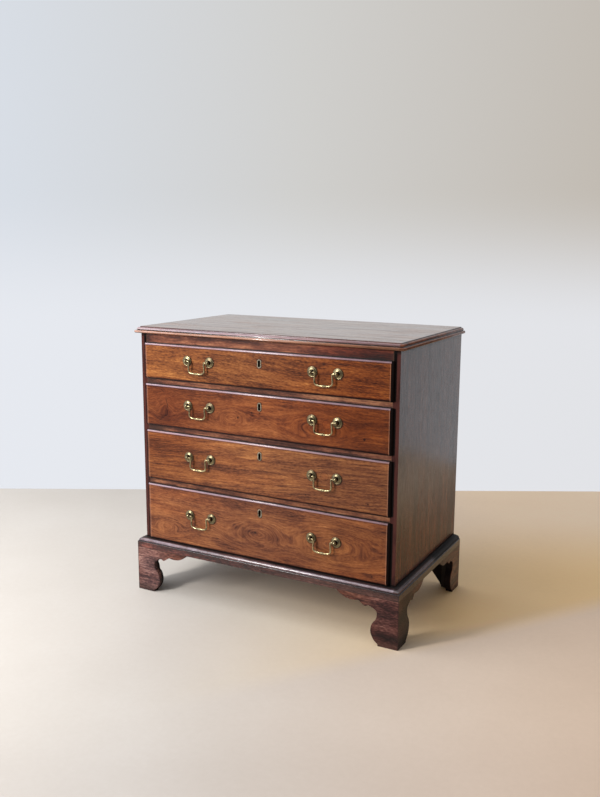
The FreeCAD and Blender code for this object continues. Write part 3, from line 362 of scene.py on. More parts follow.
def front_light_shade_and_grime(low, high, pivot):
    """Painted light and shade on a drawer front, with some grime: shade in and behind the lips, a painted highlight on
    the top lip, painted shadow round the handles and the keyhole; the inside face is raw wood.
    """

    def extra(n, L, A, B, F, mid, colour, rough, height, coat):
        ragged = n.noise(n.vec(n.x * 40.0, n.z * 40.0, n.y * 40.0), 3.0, 0.6)
        side = 0.404 - abs(n.x)
        inset = n.least(n.least(n.z - low, high - n.z), side)
        # the moulded lip is made redder and darker than the field all round: painted shade and reflection on its curve,
        # with old grime
        lip = n.step(inset + ragged * 0.002, 0.0078, 0.0058)
        colour = n.mix(lip * 0.55, colour, (0.60, 0.42, 0.44), "MULTIPLY")
        # the left lip is darkened, partly grime and partly painted shade on its curve; the bottom lip is near black
        # with painted shade on its underside; the right end, facing away from the light, is painted black as shade
        left = n.step(n.x, -0.3960, -0.3985) * n.step(ragged, -0.25, 0.10)
        colour = n.mix(left * 0.55, colour, (0.075, 0.032, 0.030))
        foot = n.step(n.z - low + ragged * 0.003, 0.0065, 0.0030)
        colour = n.mix(foot * 0.93, colour, (0.008, 0.004, 0.005))
        coat = coat * (1.0 - foot)
        right = n.step(n.x + ragged * 0.001, 0.3965, 0.3985)
        colour = n.mix(right * 0.98, colour, (0.003, 0.002, 0.002))
        # a thin pale line inside the two end lips: a painted highlight where the lip's curve meets the field
        line = n.step(abs(side - 0.0082), 0.0010, 0.0003)
        colour = n.mix(line * 0.45, colour, (0.52, 0.26, 0.16))
        # polish lies thick on the top lip
        top_lip_gloss_and_highlight = n.step(high - n.z, 0.0056, 0.0040) * n.step(-n.y, -FACE - 0.0075, -FACE - 0.0065)
        top_lip_gloss_and_highlight = top_lip_gloss_and_highlight * n.step(n.x, 0.3985, 0.3965)
        coat = top_lip_gloss_and_highlight * (0.35 + ragged * 0.3) + coat
        rough = rough - top_lip_gloss_and_highlight * 0.08
        # and it gets a pale mauve painted highlight, with painted shade in the quirk below it
        colour = n.mix(top_lip_gloss_and_highlight * (0.56 + ragged * 0.6), colour, (0.40, 0.30, 0.355))
        quirk = n.step(abs(high - n.z - 0.0068), 0.0012, 0.0003) * n.step(side, 0.006, 0.008)
        colour = n.mix(quirk * 0.55, colour, (0.035, 0.012, 0.012))
        # painted shadow round the keyhole's brass, thickest on the right away from the light, with some grime all round
        ex = n.most(abs(n.x) - 0.0028, 0.0)
        ez = n.most(abs(n.z - (high - 0.0350)) - 0.0086, 0.0)
        out = n.away(ex, ez, 0.0, 0.0) - 0.0038
        keyhole_shadow_and_grime = n.step(out + ragged * 0.0012, 0.0022, 0.0004) * (n.step(n.x, -0.004, 0.005) * 0.6 + 0.3)
        colour = n.mix(keyhole_shadow_and_grime, colour, (0.020, 0.010, 0.008))
        # and painted shadow round the roses, thickest below them and to their right, with some grime all round
        px, pz = abs(abs(n.x) - 0.207) - 0.039, n.z - pivot
        d = n.away(px, pz, 0.0, 0.0)
        rose_shadow_and_grime = n.step(d + ragged * 0.0022, 0.0195, 0.0158)
        beside = n.math("SIGN", n.x) * n.math("SIGN", abs(n.x) - 0.207) * px
        rose_shadow_and_grime = rose_shadow_and_grime * (n.step(beside * 0.8 - pz, -0.008, 0.012) * 0.60 + 0.15)
        colour = n.mix(rose_shadow_and_grime, colour, (0.026, 0.011, 0.008))
        # the outer edges of the lips, back to the carcase, are painted nearly black as shade
        behind = n.step(n.y, FACE + 0.0025, FACE + 0.0050)
        rim = n.step(inset, 0.0020, 0.0006)
        colour = n.mix(behind * rim * 0.90, colour, (0.012, 0.007, 0.006))
        rough = rough + foot * 0.15 + right * 0.5
        coat = coat * (1.0 - right)
        # the inside face is raw wood
        inner = n.step(n.y, CASE + 0.0002, CASE + 0.0016)
        colour = n.mix(inner * 0.75, colour, (0.17, 0.085, 0.045))
        rough = rough + inner * 0.35
        return colour, rough, height, coat

    return extra


M = {}
M["front_1"] = mahogany(
    "mahogany_drawer_1",
    along_x,
    seed=3.1,
    slope=0.045,
    wander=0.008,
    bands=0.55,
    stripes=0.75,
    lines=0.75,
    mottle=0.40,
    level=0.52,
    flecks=0.30,
    speck=0.60,
    tone_and_shade_washes=[(-0.05, 0.73, 0.15, 0.14, (0.84, 0.84, 0.92)), (0.335, 0.73, 0.21, 0.14, (0.68, 0.50, 0.33))],
    eyes=[(0.10, 0.742, 0.10, 0.030, 0.012), (-0.20, 0.735, 0.12, 0.03, -0.006)],
    clouds=[
        (-0.285, 0.7520, 0.050, 0.006, 0.16),
        (-0.200, 0.7560, 0.045, 0.008, 0.14),
        (-0.235, 0.7330, 0.045, 0.004, 0.16),
        (-0.160, 0.7480, 0.022, 0.007, 0.16),
        (-0.300, 0.7130, 0.040, 0.005, 0.12),
        (-0.190, 0.6960, 0.060, 0.007, 0.18),
        (-0.020, 0.7150, 0.060, 0.006, 0.10),
        (0.050, 0.7690, 0.045, 0.005, 0.18),
        (0.105, 0.7600, 0.040, 0.006, 0.24),
        (0.190, 0.7660, 0.060, 0.005, 0.20),
        (0.300, 0.7670, 0.060, 0.005, 0.22),
        (0.370, 0.7560, 0.040, 0.012, 0.20),
        (0.345, 0.7300, 0.050, 0.010, 0.20),
        (0.130, 0.7400, 0.080, 0.005, 0.12),
        (0.090, 0.7180, 0.060, 0.006, 0.14),
        (0.010, 0.6880, 0.070, 0.004, 0.20),
        (-0.345, 0.7000, 0.060, 0.014, -0.10),
        (-0.390, 0.7650, 0.030, 0.016, -0.10),
        (0.125, 0.6990, 0.070, 0.008, -0.10),
        (0.370, 0.6990, 0.040, 0.008, -0.12),
        (0.150, 0.7720, 0.050, 0.003, -0.16),
        (-0.100, 0.7750, 0.120, 0.008, -0.06),
    ],
    pins=[(-0.118, 0.744, 0.0012)],
    extra=front_light_shade_and_grime(*DRAWER[1], PIVOT[1]),
    coat=0.20,
    coat_rough=0.27,
    specular=0.07,
)
M["front_2"] = mahogany(
    "mahogany_drawer_2",
    along_x,
    seed=7.7,
    wander=0.012,
    bands=0.55,
    stripes=0.50,
    lines=0.65,
    mottle=0.50,
    flecks=0.20,
    speck=0.40,
    tint=(0.93, 0.86, 0.98),
    tone_and_shade_washes=[(-0.335, 0.60, 0.17, 0.14, (0.57, 0.46, 0.48)), (0.335, 0.60, 0.21, 0.14, (0.62, 0.46, 0.28))],
    knots=[
        (-0.090, 0.588, 0.075, 0.034, 0.85),
        (0.185, 0.588, 0.118, 0.044, 0.85),
        (-0.330, 0.600, 0.055, 0.050, 0.45),
    ],
    clouds=[
        (-0.100, 0.648, 0.110, 0.008, 0.16),
        (0.200, 0.640, 0.120, 0.012, 0.14),
        (-0.030, 0.607, 0.014, 0.005, 0.30),
        (-0.110, 0.590, 0.018, 0.006, 0.14),
        (0.365, 0.574, 0.045, 0.016, -0.20),
        (0.020, 0.560, 0.100, 0.010, -0.12),
        (-0.380, 0.560, 0.035, 0.014, -0.12),
        (0.000, 0.636, 0.050, 0.008, -0.08),
    ],
    pins=[(-0.072, 0.5895, 0.0036), (-0.025, 0.6080, 0.0028), (0.326, 0.5712, 0.0036),
          (0.001, 0.6085, 0.0022)],
    rings=[(0.213, 0.5985, 0.0125)],
    cracks=[
        ([(-0.343, 0.650), (-0.334, 0.640)], 0.0014, 0.9),
        ([(-0.326, 0.620), (-0.3225, 0.607), (-0.3220, 0.594)], 0.0016, 0.95),
        ([(-0.3215, 0.585), (-0.3225, 0.573), (-0.333, 0.566)], 0.0015, 0.85),
        ([(-0.341, 0.561), (-0.353, 0.553)], 0.0013, 0.8),
    ],
    extra=front_light_shade_and_grime(*DRAWER[2], PIVOT[2]),
    coat=0.20,
    coat_rough=0.27,
    specular=0.07,
)
M["front_3"] = mahogany(
    "mahogany_drawer_3",
    along_x,
    seed=12.4,
    slope=-0.07,
    wander=0.009,
    bands=0.60,
    stripes=0.70,
    lines=0.70,
    mottle=0.35,
    long=1.35,
    flecks=0.25,
    speck=0.42,
    tint=(1.08, 1.20, 1.45),
    tone_and_shade_washes=[(-0.335, 0.45, 0.17, 0.15, (0.67, 0.54, 0.45)), (0.335, 0.44, 0.21, 0.16, (0.69, 0.66, 0.70))],
    clouds=[
        (-0.300, 0.478, 0.140, 0.009, 0.18),
        (0.090, 0.472, 0.120, 0.010, 0.16),
        (0.260, 0.487, 0.110, 0.008, 0.12),
        (-0.150, 0.432, 0.120, 0.010, 0.16),
        (0.330, 0.430, 0.080, 0.016, 0.12),
        (-0.030, 0.478, 0.070, 0.006, -0.22),
        (-0.330, 0.414, 0.070, 0.010, -0.16),
        (-0.240, 0.388, 0.120, 0.007, -0.20),
        (0.020, 0.400, 0.080, 0.010, -0.10),
        (0.300, 0.505, 0.090, 0.007, -0.12),
        (0.380, 0.378, 0.030, 0.010, 0.20),
    ],
    pins=[(0.340, 0.3935, 0.0026), (0.150, 0.3915, 0.0020)],
    rings=[(-0.205, 0.4510, 0.0125), (0.208, 0.4530, 0.0120)],
    extra=front_light_shade_and_grime(*DRAWER[3], PIVOT[3]),
    coat=0.20,
    coat_rough=0.27,
    specular=0.07,
)
M["front_4"] = mahogany(
    "mahogany_drawer_4",
    along_x,
    seed=20.9,
    wander=0.011,
    bands=0.62,
    stripes=0.65,
    lines=0.65,
    mottle=0.50,
    flecks=0.20,
    speck=0.38,
    tint=(0.88, 0.93, 1.27),
    tone_and_shade_washes=[(-0.335, 0.27, 0.17, 0.17, (1.14, 1.12, 1.03)), (0.335, 0.25, 0.21, 0.17, (0.95, 0.84, 0.66))],
    knots=[
        (-0.010, 0.250, 0.120, 0.050, 0.90),
        (-0.335, 0.222, 0.080, 0.034, 0.75),
        (0.235, 0.262, 0.165, 0.058, 0.85),
    ],
    clouds=[
        (-0.080, 0.262, 0.026, 0.012, 0.26),
        (-0.068, 0.236, 0.020, 0.009, 0.16),
        (-0.015, 0.252, 0.012, 0.005, 0.34),
        (0.042, 0.242, 0.020, 0.010, 0.14),
        (0.120, 0.296, 0.022, 0.007, 0.20),
        (0.020, 0.207, 0.022, 0.005, 0.20),
        (0.350, 0.192, 0.018, 0.006, 0.24),
        (-0.010, 0.338, 0.150, 0.007, 0.12),
        (-0.370, 0.300, 0.050, 0.018, -0.18),
        (0.370, 0.214, 0.050, 0.016, -0.18),
        (-0.190, 0.190, 0.120, 0.010, -0.10),
        (0.110, 0.200, 0.080, 0.012, -0.12),
    ],
    pins=[(-0.0155, 0.2535, 0.0034), (0.356, 0.1905, 0.0028), (-0.338, 0.231, 0.0012)],
    extra=front_light_shade_and_grime(*DRAWER[4], PIVOT[4]),
    coat=0.20,
    coat_rough=0.27,
    specular=0.07,
)

RAIL_TONES = [
    (0.00, (0.020, 0.008, 0.006)),
    (0.30, (0.080, 0.025, 0.013)),
    (0.50, (0.180, 0.058, 0.026)),
    (0.72, (0.330, 0.125, 0.050)),
    (1.00, (0.480, 0.220, 0.100)),
]


def rail_shadow_and_grime(low, high, dark_left=0.0):
    """Near-black painted shadow lines along the rail under and above the drawers' lips; grime at the left end, darker
    patches, and raw wood behind.
    """

    def extra(n, L, A, B, F, mid, colour, rough, height, coat):
        ragged = n.noise(n.vec(n.x * 30.0, n.z * 60.0, 0.0), 3.0, 0.65)
        top = n.step(high - n.z + ragged * 0.004, 0.0062, 0.0030)
        foot = n.step(n.z - low + ragged * 0.004, 0.0072, 0.0038)
        face = n.step(n.y, CASE + 0.0052, CASE + 0.0007)
        colour = n.mix(n.most(top, foot) * face * 0.94, colour, (0.009, 0.005, 0.005))
        if dark_left:
            left = n.step(n.x + ragged * 0.05, dark_left + 0.02, dark_left - 0.02)
            colour = n.mix(left * 0.8, colour, (0.030, 0.014, 0.011))
        patches = n.noise(n.vec(n.x * 11.0, n.z * 14.0, 0.0), 3.0, 0.6)
        colour = n.mix(n.step(patches, 0.06, 0.20) * 0.55, colour, (0.40, 0.32, 0.32), "MULTIPLY")
        inner = n.step(n.y, CASE + 0.0012, CASE + 0.0062)
        colour = n.mix(inner * 0.6, colour, (0.150, 0.090, 0.055))
        rough = rough + inner * 0.3 + n.most(top, foot) * 0.2
        return colour, rough, height, coat

    return extra


M["rail_1"] = mahogany("mahogany_rail_1", along_x, RAIL_TONES, seed=31.0, bands=1.2, mottle=0.9, level=0.47, tint=(0.95, 1.08, 1.34),
                       extra=rail_shadow_and_grime(0.659, 0.681, -0.365))
M["rail_2"] = mahogany("mahogany_rail_2", along_x, RAIL_TONES, seed=36.0, bands=1.2, mottle=0.9, tint=(0.82, 0.88, 1.12),
                       level=0.43, extra=rail_shadow_and_grime(0.5155, 0.5375, -0.330))
M["rail_3"] = mahogany("mahogany_rail_3", along_x, RAIL_TONES, seed=41.5, bands=1.2, mottle=0.9, tint=(0.82, 0.84, 0.95),
                       extra=rail_shadow_and_grime(0.346, 0.368, -0.392))
# the frieze's narrow dark cloud darkens its left end, against the side; its broad patch darkens and reddens the right
# end, partly painted shade
M["frieze"] = mahogany("mahogany_frieze", along_x, RAIL_TONES, seed=47.0, tint=(1.0, 1.04, 1.28), bands=1.2, mottle=0.8, level=0.44,
                       clouds=[(0.30, 0.80, 0.16, 0.05, 0.16), (-0.396, 0.80, 0.012, 0.05, 0.5),
                               (-0.20, 0.80, 0.15, 0.03, -0.08)],
                       tone_and_shade_washes=[(0.32, 0.80, 0.20, 0.20, (0.85, 0.48, 0.38))],
                       extra=rail_shadow_and_grime(0.7825, 0.820))

TOP_TONES = [
    (0.00, (0.035, 0.016, 0.010)),
    (0.30, (0.110, 0.045, 0.024)),
    (0.50, (0.200, 0.085, 0.042)),
    (0.75, (0.300, 0.140, 0.070)),
    (1.00, (0.420, 0.220, 0.120)),
]


def top_light_shade_and_wear(n, L, A, B, F, mid, colour, rough, height, coat):
    ragged = n.noise(n.vec(n.x * 25.0, n.y * 25.0, n.z * 40.0), 3.0, 0.65)
    out = n.most(abs(n.x) - 0.4347, TOP_FRONT - n.y)
    # the moulding below the arris is redder than the face; painted highlights on its ovolo and its bead, fainter at the
    # right end; painted shade in its quirk and a painted shadow under the bead
    edge = n.step(n.z, 0.8338, 0.8330)
    colour = n.mix(edge * 0.8, colour, (0.90, 0.62, 0.55), "MULTIPLY")
    end = n.step(n.x, 0.4195, 0.4215)
    ovolo = n.step(n.z, 0.8250, 0.8262) * n.step(n.z, 0.8318, 0.8310)
    colour = n.mix(ovolo * (0.42 + ragged * 0.5) * (1.0 - end), colour, (0.44, 0.34, 0.41))
    bead = n.step(n.z, 0.8150, 0.8170) * n.step(n.z, 0.8230, 0.8215)
    colour = n.mix(bead * (0.42 + ragged * 0.6) * (1.0 - end * 0.7), colour, (0.56, 0.27, 0.15))
    quirk = n.step(abs(n.z - 0.8240) + ragged * 0.0008, 0.0018, 0.0008)
    colour = n.mix(quirk * 0.92, colour, (0.016, 0.006, 0.007))
    under = n.step(n.z, 0.8158, 0.8142)
    colour = n.mix(under * 0.85, colour, (0.012, 0.006, 0.006))
    # a dark line along the arris
    arris = n.most(
        n.step(n.z, 0.8312, 0.8322) * edge,
        n.step(out + ragged * 0.004, -0.0165, -0.0142) * (1.0 - edge),
    )
    colour = n.mix(arris * 0.85, colour, (0.040, 0.015, 0.022))
    coat = coat * (1.0 - arris * 0.6) * (1.0 - end * edge * 0.5)
    scuff = n.step(n.noise(n.vec(n.x * 6.0, n.y * 5.0, 2.0), 4.0, 0.6), 0.08, 0.2)
    rough = rough + scuff * 0.06
    # the polish has worn unevenly along the figure
    figure = n.noise(n.vec(n.x * 4.0, F * 26.0, 1.0), 3.0, 0.6)
    streak = n.noise(n.vec(L * 60.0, F * 260.0, 0.0), 2.0, 0.6)
    coat = n.clamp(coat * (0.86 + mid * 1.6 + figure * 2.2 + streak * 1.6) - n.step(n.x, 0.05, 0.45) * 0.15)
    colour = n.mix(figure * 2.0 + 0.3, colour, (0.70, 0.62, 0.55), "MULTIPLY")
    return colour, rough, height, coat


M["top"] = mahogany("mahogany_top", top_lie, TOP_TONES, seed=55.0, bands=1.3, stripes=0.8, lines=0.4,
                    gloss=0.20, wave=0.00008, coat=1.0, coat_rough=0.14, specular=0.45, extra=top_light_shade_and_wear)

SIDE_TONES = [
    (0.00, (0.012, 0.006, 0.005)),
    (0.30, (0.035, 0.015, 0.010)),
    (0.50, (0.070, 0.028, 0.017)),
    (0.75, (0.120, 0.050, 0.029)),
    (1.00, (0.200, 0.090, 0.050)),
]


def side_wear_and_shade(n, L, A, B, F, mid, colour, rough, height, coat):
    ragged = n.noise(n.vec(n.x * 30.0, n.y * 30.0, n.z * 12.0), 3.0, 0.65)
    # the front edge, which faces the room between the drawers and the side, is redder
    face = n.step(n.y, CASE + 0.0017, CASE + 0.0002)
    colour = n.mix(face * 0.9, colour, (0.066, 0.021, 0.018))
    spots = n.noise(n.vec(n.x * 60.0, n.z * 9.0, 3.0), 3.0, 0.6)
    colour = n.mix(face * n.step(spots, 0.0, 0.16) * 0.7, colour, (0.022, 0.009, 0.008))
    # painted shadow: a near-black strip on the front edge beside the drawers' lips, broken where the rails meet it
    lip = n.step(abs(n.x) + spots * 0.002, 0.4115, 0.4090) * face
    for rail in (0.357, 0.5265, 0.670):
        lip = lip * (1.0 - n.step(abs(n.z - rail) + spots * 0.004, 0.0105, 0.0075) * 0.85)
    colour = n.mix(lip * 0.98, colour, (0.003, 0.002, 0.002))
    streak = n.noise(n.vec(L * 30.0, A * 260.0, 0.0), 3.0, 0.65)
    worn = n.step(n.z + ragged * 0.08, 0.47, 0.25)
    colour = n.mix(worn * (1.0 - face), colour, (1.45, 1.08, 0.88), "MULTIPLY")
    coat = (1.0 - face) * coat * (1.0 - worn * 0.62) * (n.step(n.z + ragged * 0.1, 0.20, 0.48) * 0.30 + 0.70)
    coat = n.clamp(coat * (1.0 + mid * 0.6 + streak * 1.7))
    # near black just above the base moulding, and painted shade under the top's overhang
    low = n.step(n.z + ragged * 0.01, 0.179, 0.173)
    high = n.step(n.z + ragged * 0.01, 0.800, 0.812)
    colour = n.mix(n.most(low, high) * 0.88, colour, (0.006, 0.004, 0.004))
    coat = coat * (1.0 - low)
    # the arrises at the front and back are rubbed
    arris = n.step(n.y + ragged * 0.006, CASE + 0.0062, CASE + 0.0012) * (1.0 - face)
    colour = n.mix(arris * 0.35, colour, (0.230, 0.110, 0.065))
    back = n.step(n.y + ragged * 0.006, REAR - 0.0067, REAR - 0.0017)
    colour = n.mix(back * 0.45, colour, (0.200, 0.110, 0.070))
    inner = n.step(abs(n.x), 0.4015, 0.4002)
    colour = n.mix(inner * 0.85, colour, (0.120, 0.070, 0.042))
    rough = rough + inner * 0.4 + n.most(low, high) * 0.2
    return colour, rough, height, coat


M["side"] = mahogany("mahogany_side", along_z, SIDE_TONES, seed=63.0, bands=1.3, stripes=0.9, lines=0.7,
                     mottle=0.25, gloss=0.22, wave=0.00010, coat=0.80, coat_rough=0.17,
                     specular=0.07, extra=side_wear_and_shade)

BASE_TONES = [
    (0.00, (0.014, 0.007, 0.006)),
    (0.30, (0.045, 0.015, 0.011)),
    (0.50, (0.095, 0.032, 0.021)),
    (0.75, (0.190, 0.072, 0.045)),
    (1.00, (0.320, 0.150, 0.095)),
]


def base_light_shade_and_wear(n, L, A, B, F, mid, colour, rough, height, coat):
    ragged = n.noise(n.vec(n.x * 30.0, n.y * 30.0, n.z * 30.0), 4.0, 0.65)
    dark = n.step(n.noise(n.vec(n.x * 9.0, n.y * 9.0, n.z * 16.0), 3.0, 0.6), 0.02, 0.18)
    colour = n.mix(dark * 0.6, colour, (0.35, 0.30, 0.32), "MULTIPLY")
    joint = n.step(abs(n.z - 0.1400) + ragged * 0.001, 0.0016, 0.0003)
    colour = n.mix(joint * 0.6, colour, (0.012, 0.007, 0.006))
    tip = n.step(n.z + ragged * 0.05, 0.030, 0.004)
    colour = n.mix(tip * 0.55, colour, (0.030, 0.018, 0.014))
    scuff = n.step(ragged, 0.12, 0.22) * n.step(n.z, 0.13, 0.02)
    colour = n.mix(scuff * 0.18, colour, (0.20, 0.11, 0.08))
    # the mitre at the corner is dark
    corner = n.step(abs((n.y - BASE_FRONT) - (0.441 - abs(n.x))) + ragged * 0.002, 0.0030, 0.0010)
    colour = n.mix(corner * 0.55, colour, (0.012, 0.006, 0.006))
    # painted highlight: a pale mauve band on the moulding's curve, weaker at the right end, with painted shade in the
    # quirk below it
    ovolo = n.step(n.z, 0.1606, 0.1620) * n.step(n.z, 0.1685, 0.1672)
    end = n.step(n.x, 0.4210, 0.4240)
    colour = n.mix(ovolo * n.clamp(0.36 + ragged * 1.6) * (1.0 - end * 0.75), colour, (0.32, 0.25, 0.30))
    quirk = n.step(abs(n.z - 0.1588) + ragged * 0.0008, 0.0022, 0.0008)
    colour = n.mix(quirk * 0.90, colour, (0.010, 0.005, 0.006))
    # the flat below the moulding is made redder towards the left and darker towards the right, the darkening being
    # painted shade away from the window
    flat = n.step(n.z, 0.1580, 0.1566) * n.step(n.z, 0.1395, 0.1405)
    colour = n.mix(flat * n.step(n.x, 0.10, -0.30), colour, (1.30, 0.95, 0.90), "MULTIPLY")
    colour = n.mix(flat * n.step(n.x, -0.25, 0.05), colour, (0.56, 0.50, 0.50), "MULTIPLY")
    # near black where the moulding meets the carcase, in front painted shade under the bottom drawer's lip; the
    # brackets' inner faces are painted near black as shade
    gap = n.most(abs(n.x) - 0.4200, CASE - n.y)
    gap = n.step(gap + ragged * 0.002, 0.0050, 0.0030) * n.step(n.z, 0.167, 0.1685)
    colour = n.mix(gap * 0.96, colour, (0.004, 0.003, 0.003))
    inward = n.most(n.least(0.441 - abs(n.x), n.y - BASE_FRONT), -1.0)
    inward = n.most(n.step(inward, 0.006, 0.017), n.step(inward, 0.0008, 0.0022) * n.step(n.y, 0.0, 0.05))
    colour = n.mix(inward * 0.93, colour, (0.006, 0.005, 0.005))
    coat = coat * (1.0 - n.most(gap, inward)) * (1.0 - ovolo * end * 0.5) * (1.0 - flat * 0.6)
    rough = rough + tip * 0.2 + scuff * 0.15 + inward * 0.35
    return colour, rough, height, coat


def foot_lie(n):
    """Each bracket is two boards mitred at the corner, each with its grain lying level."""
    side_board = n.step((n.y - BASE_FRONT) - (0.441 - abs(n.x)), -0.0002, 0.0002)
    L = n.x + (n.y - n.x) * side_board
    B = n.y + (n.x - n.y) * side_board
    return L, n.z, B


M["base"] = mahogany("mahogany_base_moulding", foot_lie, BASE_TONES, seed=71.0, bands=1.3, mottle=0.7,
                     gloss=0.26, speck=0.8, extra=base_light_shade_and_wear, coat=0.45, coat_rough=0.16, specular=0.35, tint=(0.78, 0.85, 1.05),
                     tone_and_shade_washes=[(0.44, 0.15, 0.012, 1.0, (0.62, 0.62, 0.62))])
# the feet's broad patches are painted light and shade: the left front foot's face is made paler and bluer, towards the
# window, and the right one's darker; the front feet's side boards are made much darker
M["feet"] = mahogany("mahogany_feet", foot_lie, BASE_TONES, seed=78.0, bands=1.4, mottle=0.6,
                     gloss=0.32, speck=0.9, extra=base_light_shade_and_wear, coat=0.12, specular=0.14, level=0.49,
                     tone_and_shade_washes=[(0.400, 0.06, 0.075, 0.30, (0.74, 0.80, 1.08)), (-0.190, 0.06, 0.080, 0.30, (0.16, 0.13, 0.13)),
                             (-0.400, 0.06, 0.075, 0.30, (1.52, 2.20, 3.05))])


# ---------------------------------------------------------------- oak and pine

def plain_wood(name, lie, tones, seed, lines=1.0, gap=0.012, pore=0.8, rough=0.62, darkening=0.4, extra=None):
    """Unpolished boards: growth rings, long pores, greyed and stained by age."""
    n = Net(name)
    L, A, B = lie(n)
    F = A + n.noise(n.vec(L * 2.2 + seed, A * 5.0, B * 5.0), 1.0) * 0.05
    rings = n.noise(n.vec(L * 1.0 + seed, F / gap, B / gap), 2.0, 0.5)
    fine = n.noise(n.vec(L * 10.0 + seed, F * 520.0, B * 520.0), 3.0, 0.65)
    t = rings * 1.5 * lines + fine * 0.9 + 0.5
    colour = n.ramp(t, tones)
    holes = n.step(n.noise(n.vec(L * 70.0 + seed, A * 1100.0, B * 1100.0), 1.0), 0.08, 0.18)
    colour = n.mix(holes * pore * 0.5, colour, (0.36, 0.28, 0.22), "MULTIPLY")
    stain = n.step(n.noise(n.vec(n.x * 5.0 + seed, n.y * 5.0, n.z * 5.0), 4.0, 0.6), -0.02, 0.22)
    colour = n.mix(stain * darkening, colour, (0.42, 0.36, 0.32), "MULTIPLY")
    height = fine * 0.00006 + rings * 0.00010 - holes * 0.00005
    if extra:
        colour, height = extra(n, L, A, B, colour, height)
    return n.finish(
        Base_Color=colour,
        Roughness=rough + stain * 0.12 + fine * 0.2,
        Normal=n.bump(height),
        IOR=1.45,
    )


OAK = [
    (0.00, (0.120, 0.072, 0.036)),
    (0.35, (0.235, 0.150, 0.080)),
    (0.60, (0.340, 0.230, 0.130)),
    (1.00, (0.470, 0.345, 0.215)),
]
PINE = [
    (0.00, (0.095, 0.056, 0.032)),
    (0.40, (0.190, 0.120, 0.070)),
    (0.62, (0.280, 0.185, 0.110)),
    (1.00, (0.390, 0.280, 0.180)),
]
DUST = [
    (0.00, (0.070, 0.046, 0.030)),
    (0.40, (0.150, 0.100, 0.064)),
    (0.62, (0.215, 0.150, 0.098)),
    (1.00, (0.300, 0.220, 0.150)),
]

# the glue blocks' pine is near black: old grime, and painted shade inside the feet
GRIMY_SHADED_PINE = [(at, tuple(v * 0.16 for v in c)) for at, c in DUST]


def oak_side_lie(n):
    return n.y, n.z, n.x


def floor_lie(n):
    return n.y, n.x, n.z


M["oak_side"] = plain_wood("oak_drawer_sides", oak_side_lie, OAK, 4.0)
M["oak_back"] = plain_wood("oak_drawer_backs", along_x, OAK, 9.0)
M["oak_bottom"] = plain_wood("oak_drawer_bottoms", floor_lie, OAK, 14.0, gap=0.02)
M["runner"] = plain_wood("oak_runners", oak_side_lie, OAK, 17.0, darkening=0.6)
M["stop"] = plain_wood("oak_stops", along_x, OAK, 19.0, darkening=0.6)
M["pine_bottom"] = plain_wood("pine_carcase_bottom", along_x, PINE, 23.0, gap=0.022, pore=0.2)
M["pine_dust"] = plain_wood("pine_dust_boards", floor_lie, PINE, 27.0, gap=0.022, pore=0.2)


def back_lie(n):
    """Four upright boards, each with a grain of its own."""
    board = n.step(n.x, -0.1953, -0.1951) + n.step(n.x, -0.0001, 0.0001) + n.step(n.x, 0.2098, 0.2100)
    return n.z + board * 3.7, n.x + board * 0.31, n.y


def back_wear(n, L, A, B, colour, height):
    for at, shade in ((-0.30, (1.12, 1.04, 0.96)), (0.10, (0.86, 0.84, 0.84))):
        inside = n.step(abs(n.x - at), 0.1052, 0.1048)
        colour = n.mix(inside, colour, shade, "MULTIPLY")
    for at in (-0.19516, 0.0, 0.20992):
        line = n.step(abs(n.x - at), 0.0022, 0.0008)
        colour = n.mix(line * 0.85, colour, (0.012, 0.008, 0.006))
        height = height - line * 0.0003
    # rusty nails along the edges of the boards
    for z in (0.165, 0.520, 0.806):
        for at in (-0.393, -0.212, -0.178, -0.019, 0.017, 0.193, 0.228, 0.396):
            d = n.away(n.x, n.z, at, z + at * 0.02)
            colour = n.mix(n.step(d, 0.0075, 0.0020) * 0.55, colour, (0.040, 0.022, 0.014))
            colour = n.mix(n.step(d, 0.0026, 0.0018) * 0.85, colour, (0.015, 0.011, 0.009))
    return colour, height


M["pine_back"] = plain_wood("pine_back_boards", back_lie, DUST, 33.0, gap=0.018, pore=0.3, rough=0.72,
                            extra=back_wear)
M["pine_block"] = plain_wood("pine_glue_blocks", lambda n: (n.z, n.x, n.y), GRIMY_SHADED_PINE, 37.0, gap=0.012, pore=0.3, rough=0.75)


# ---------------------------------------------------------------- brass

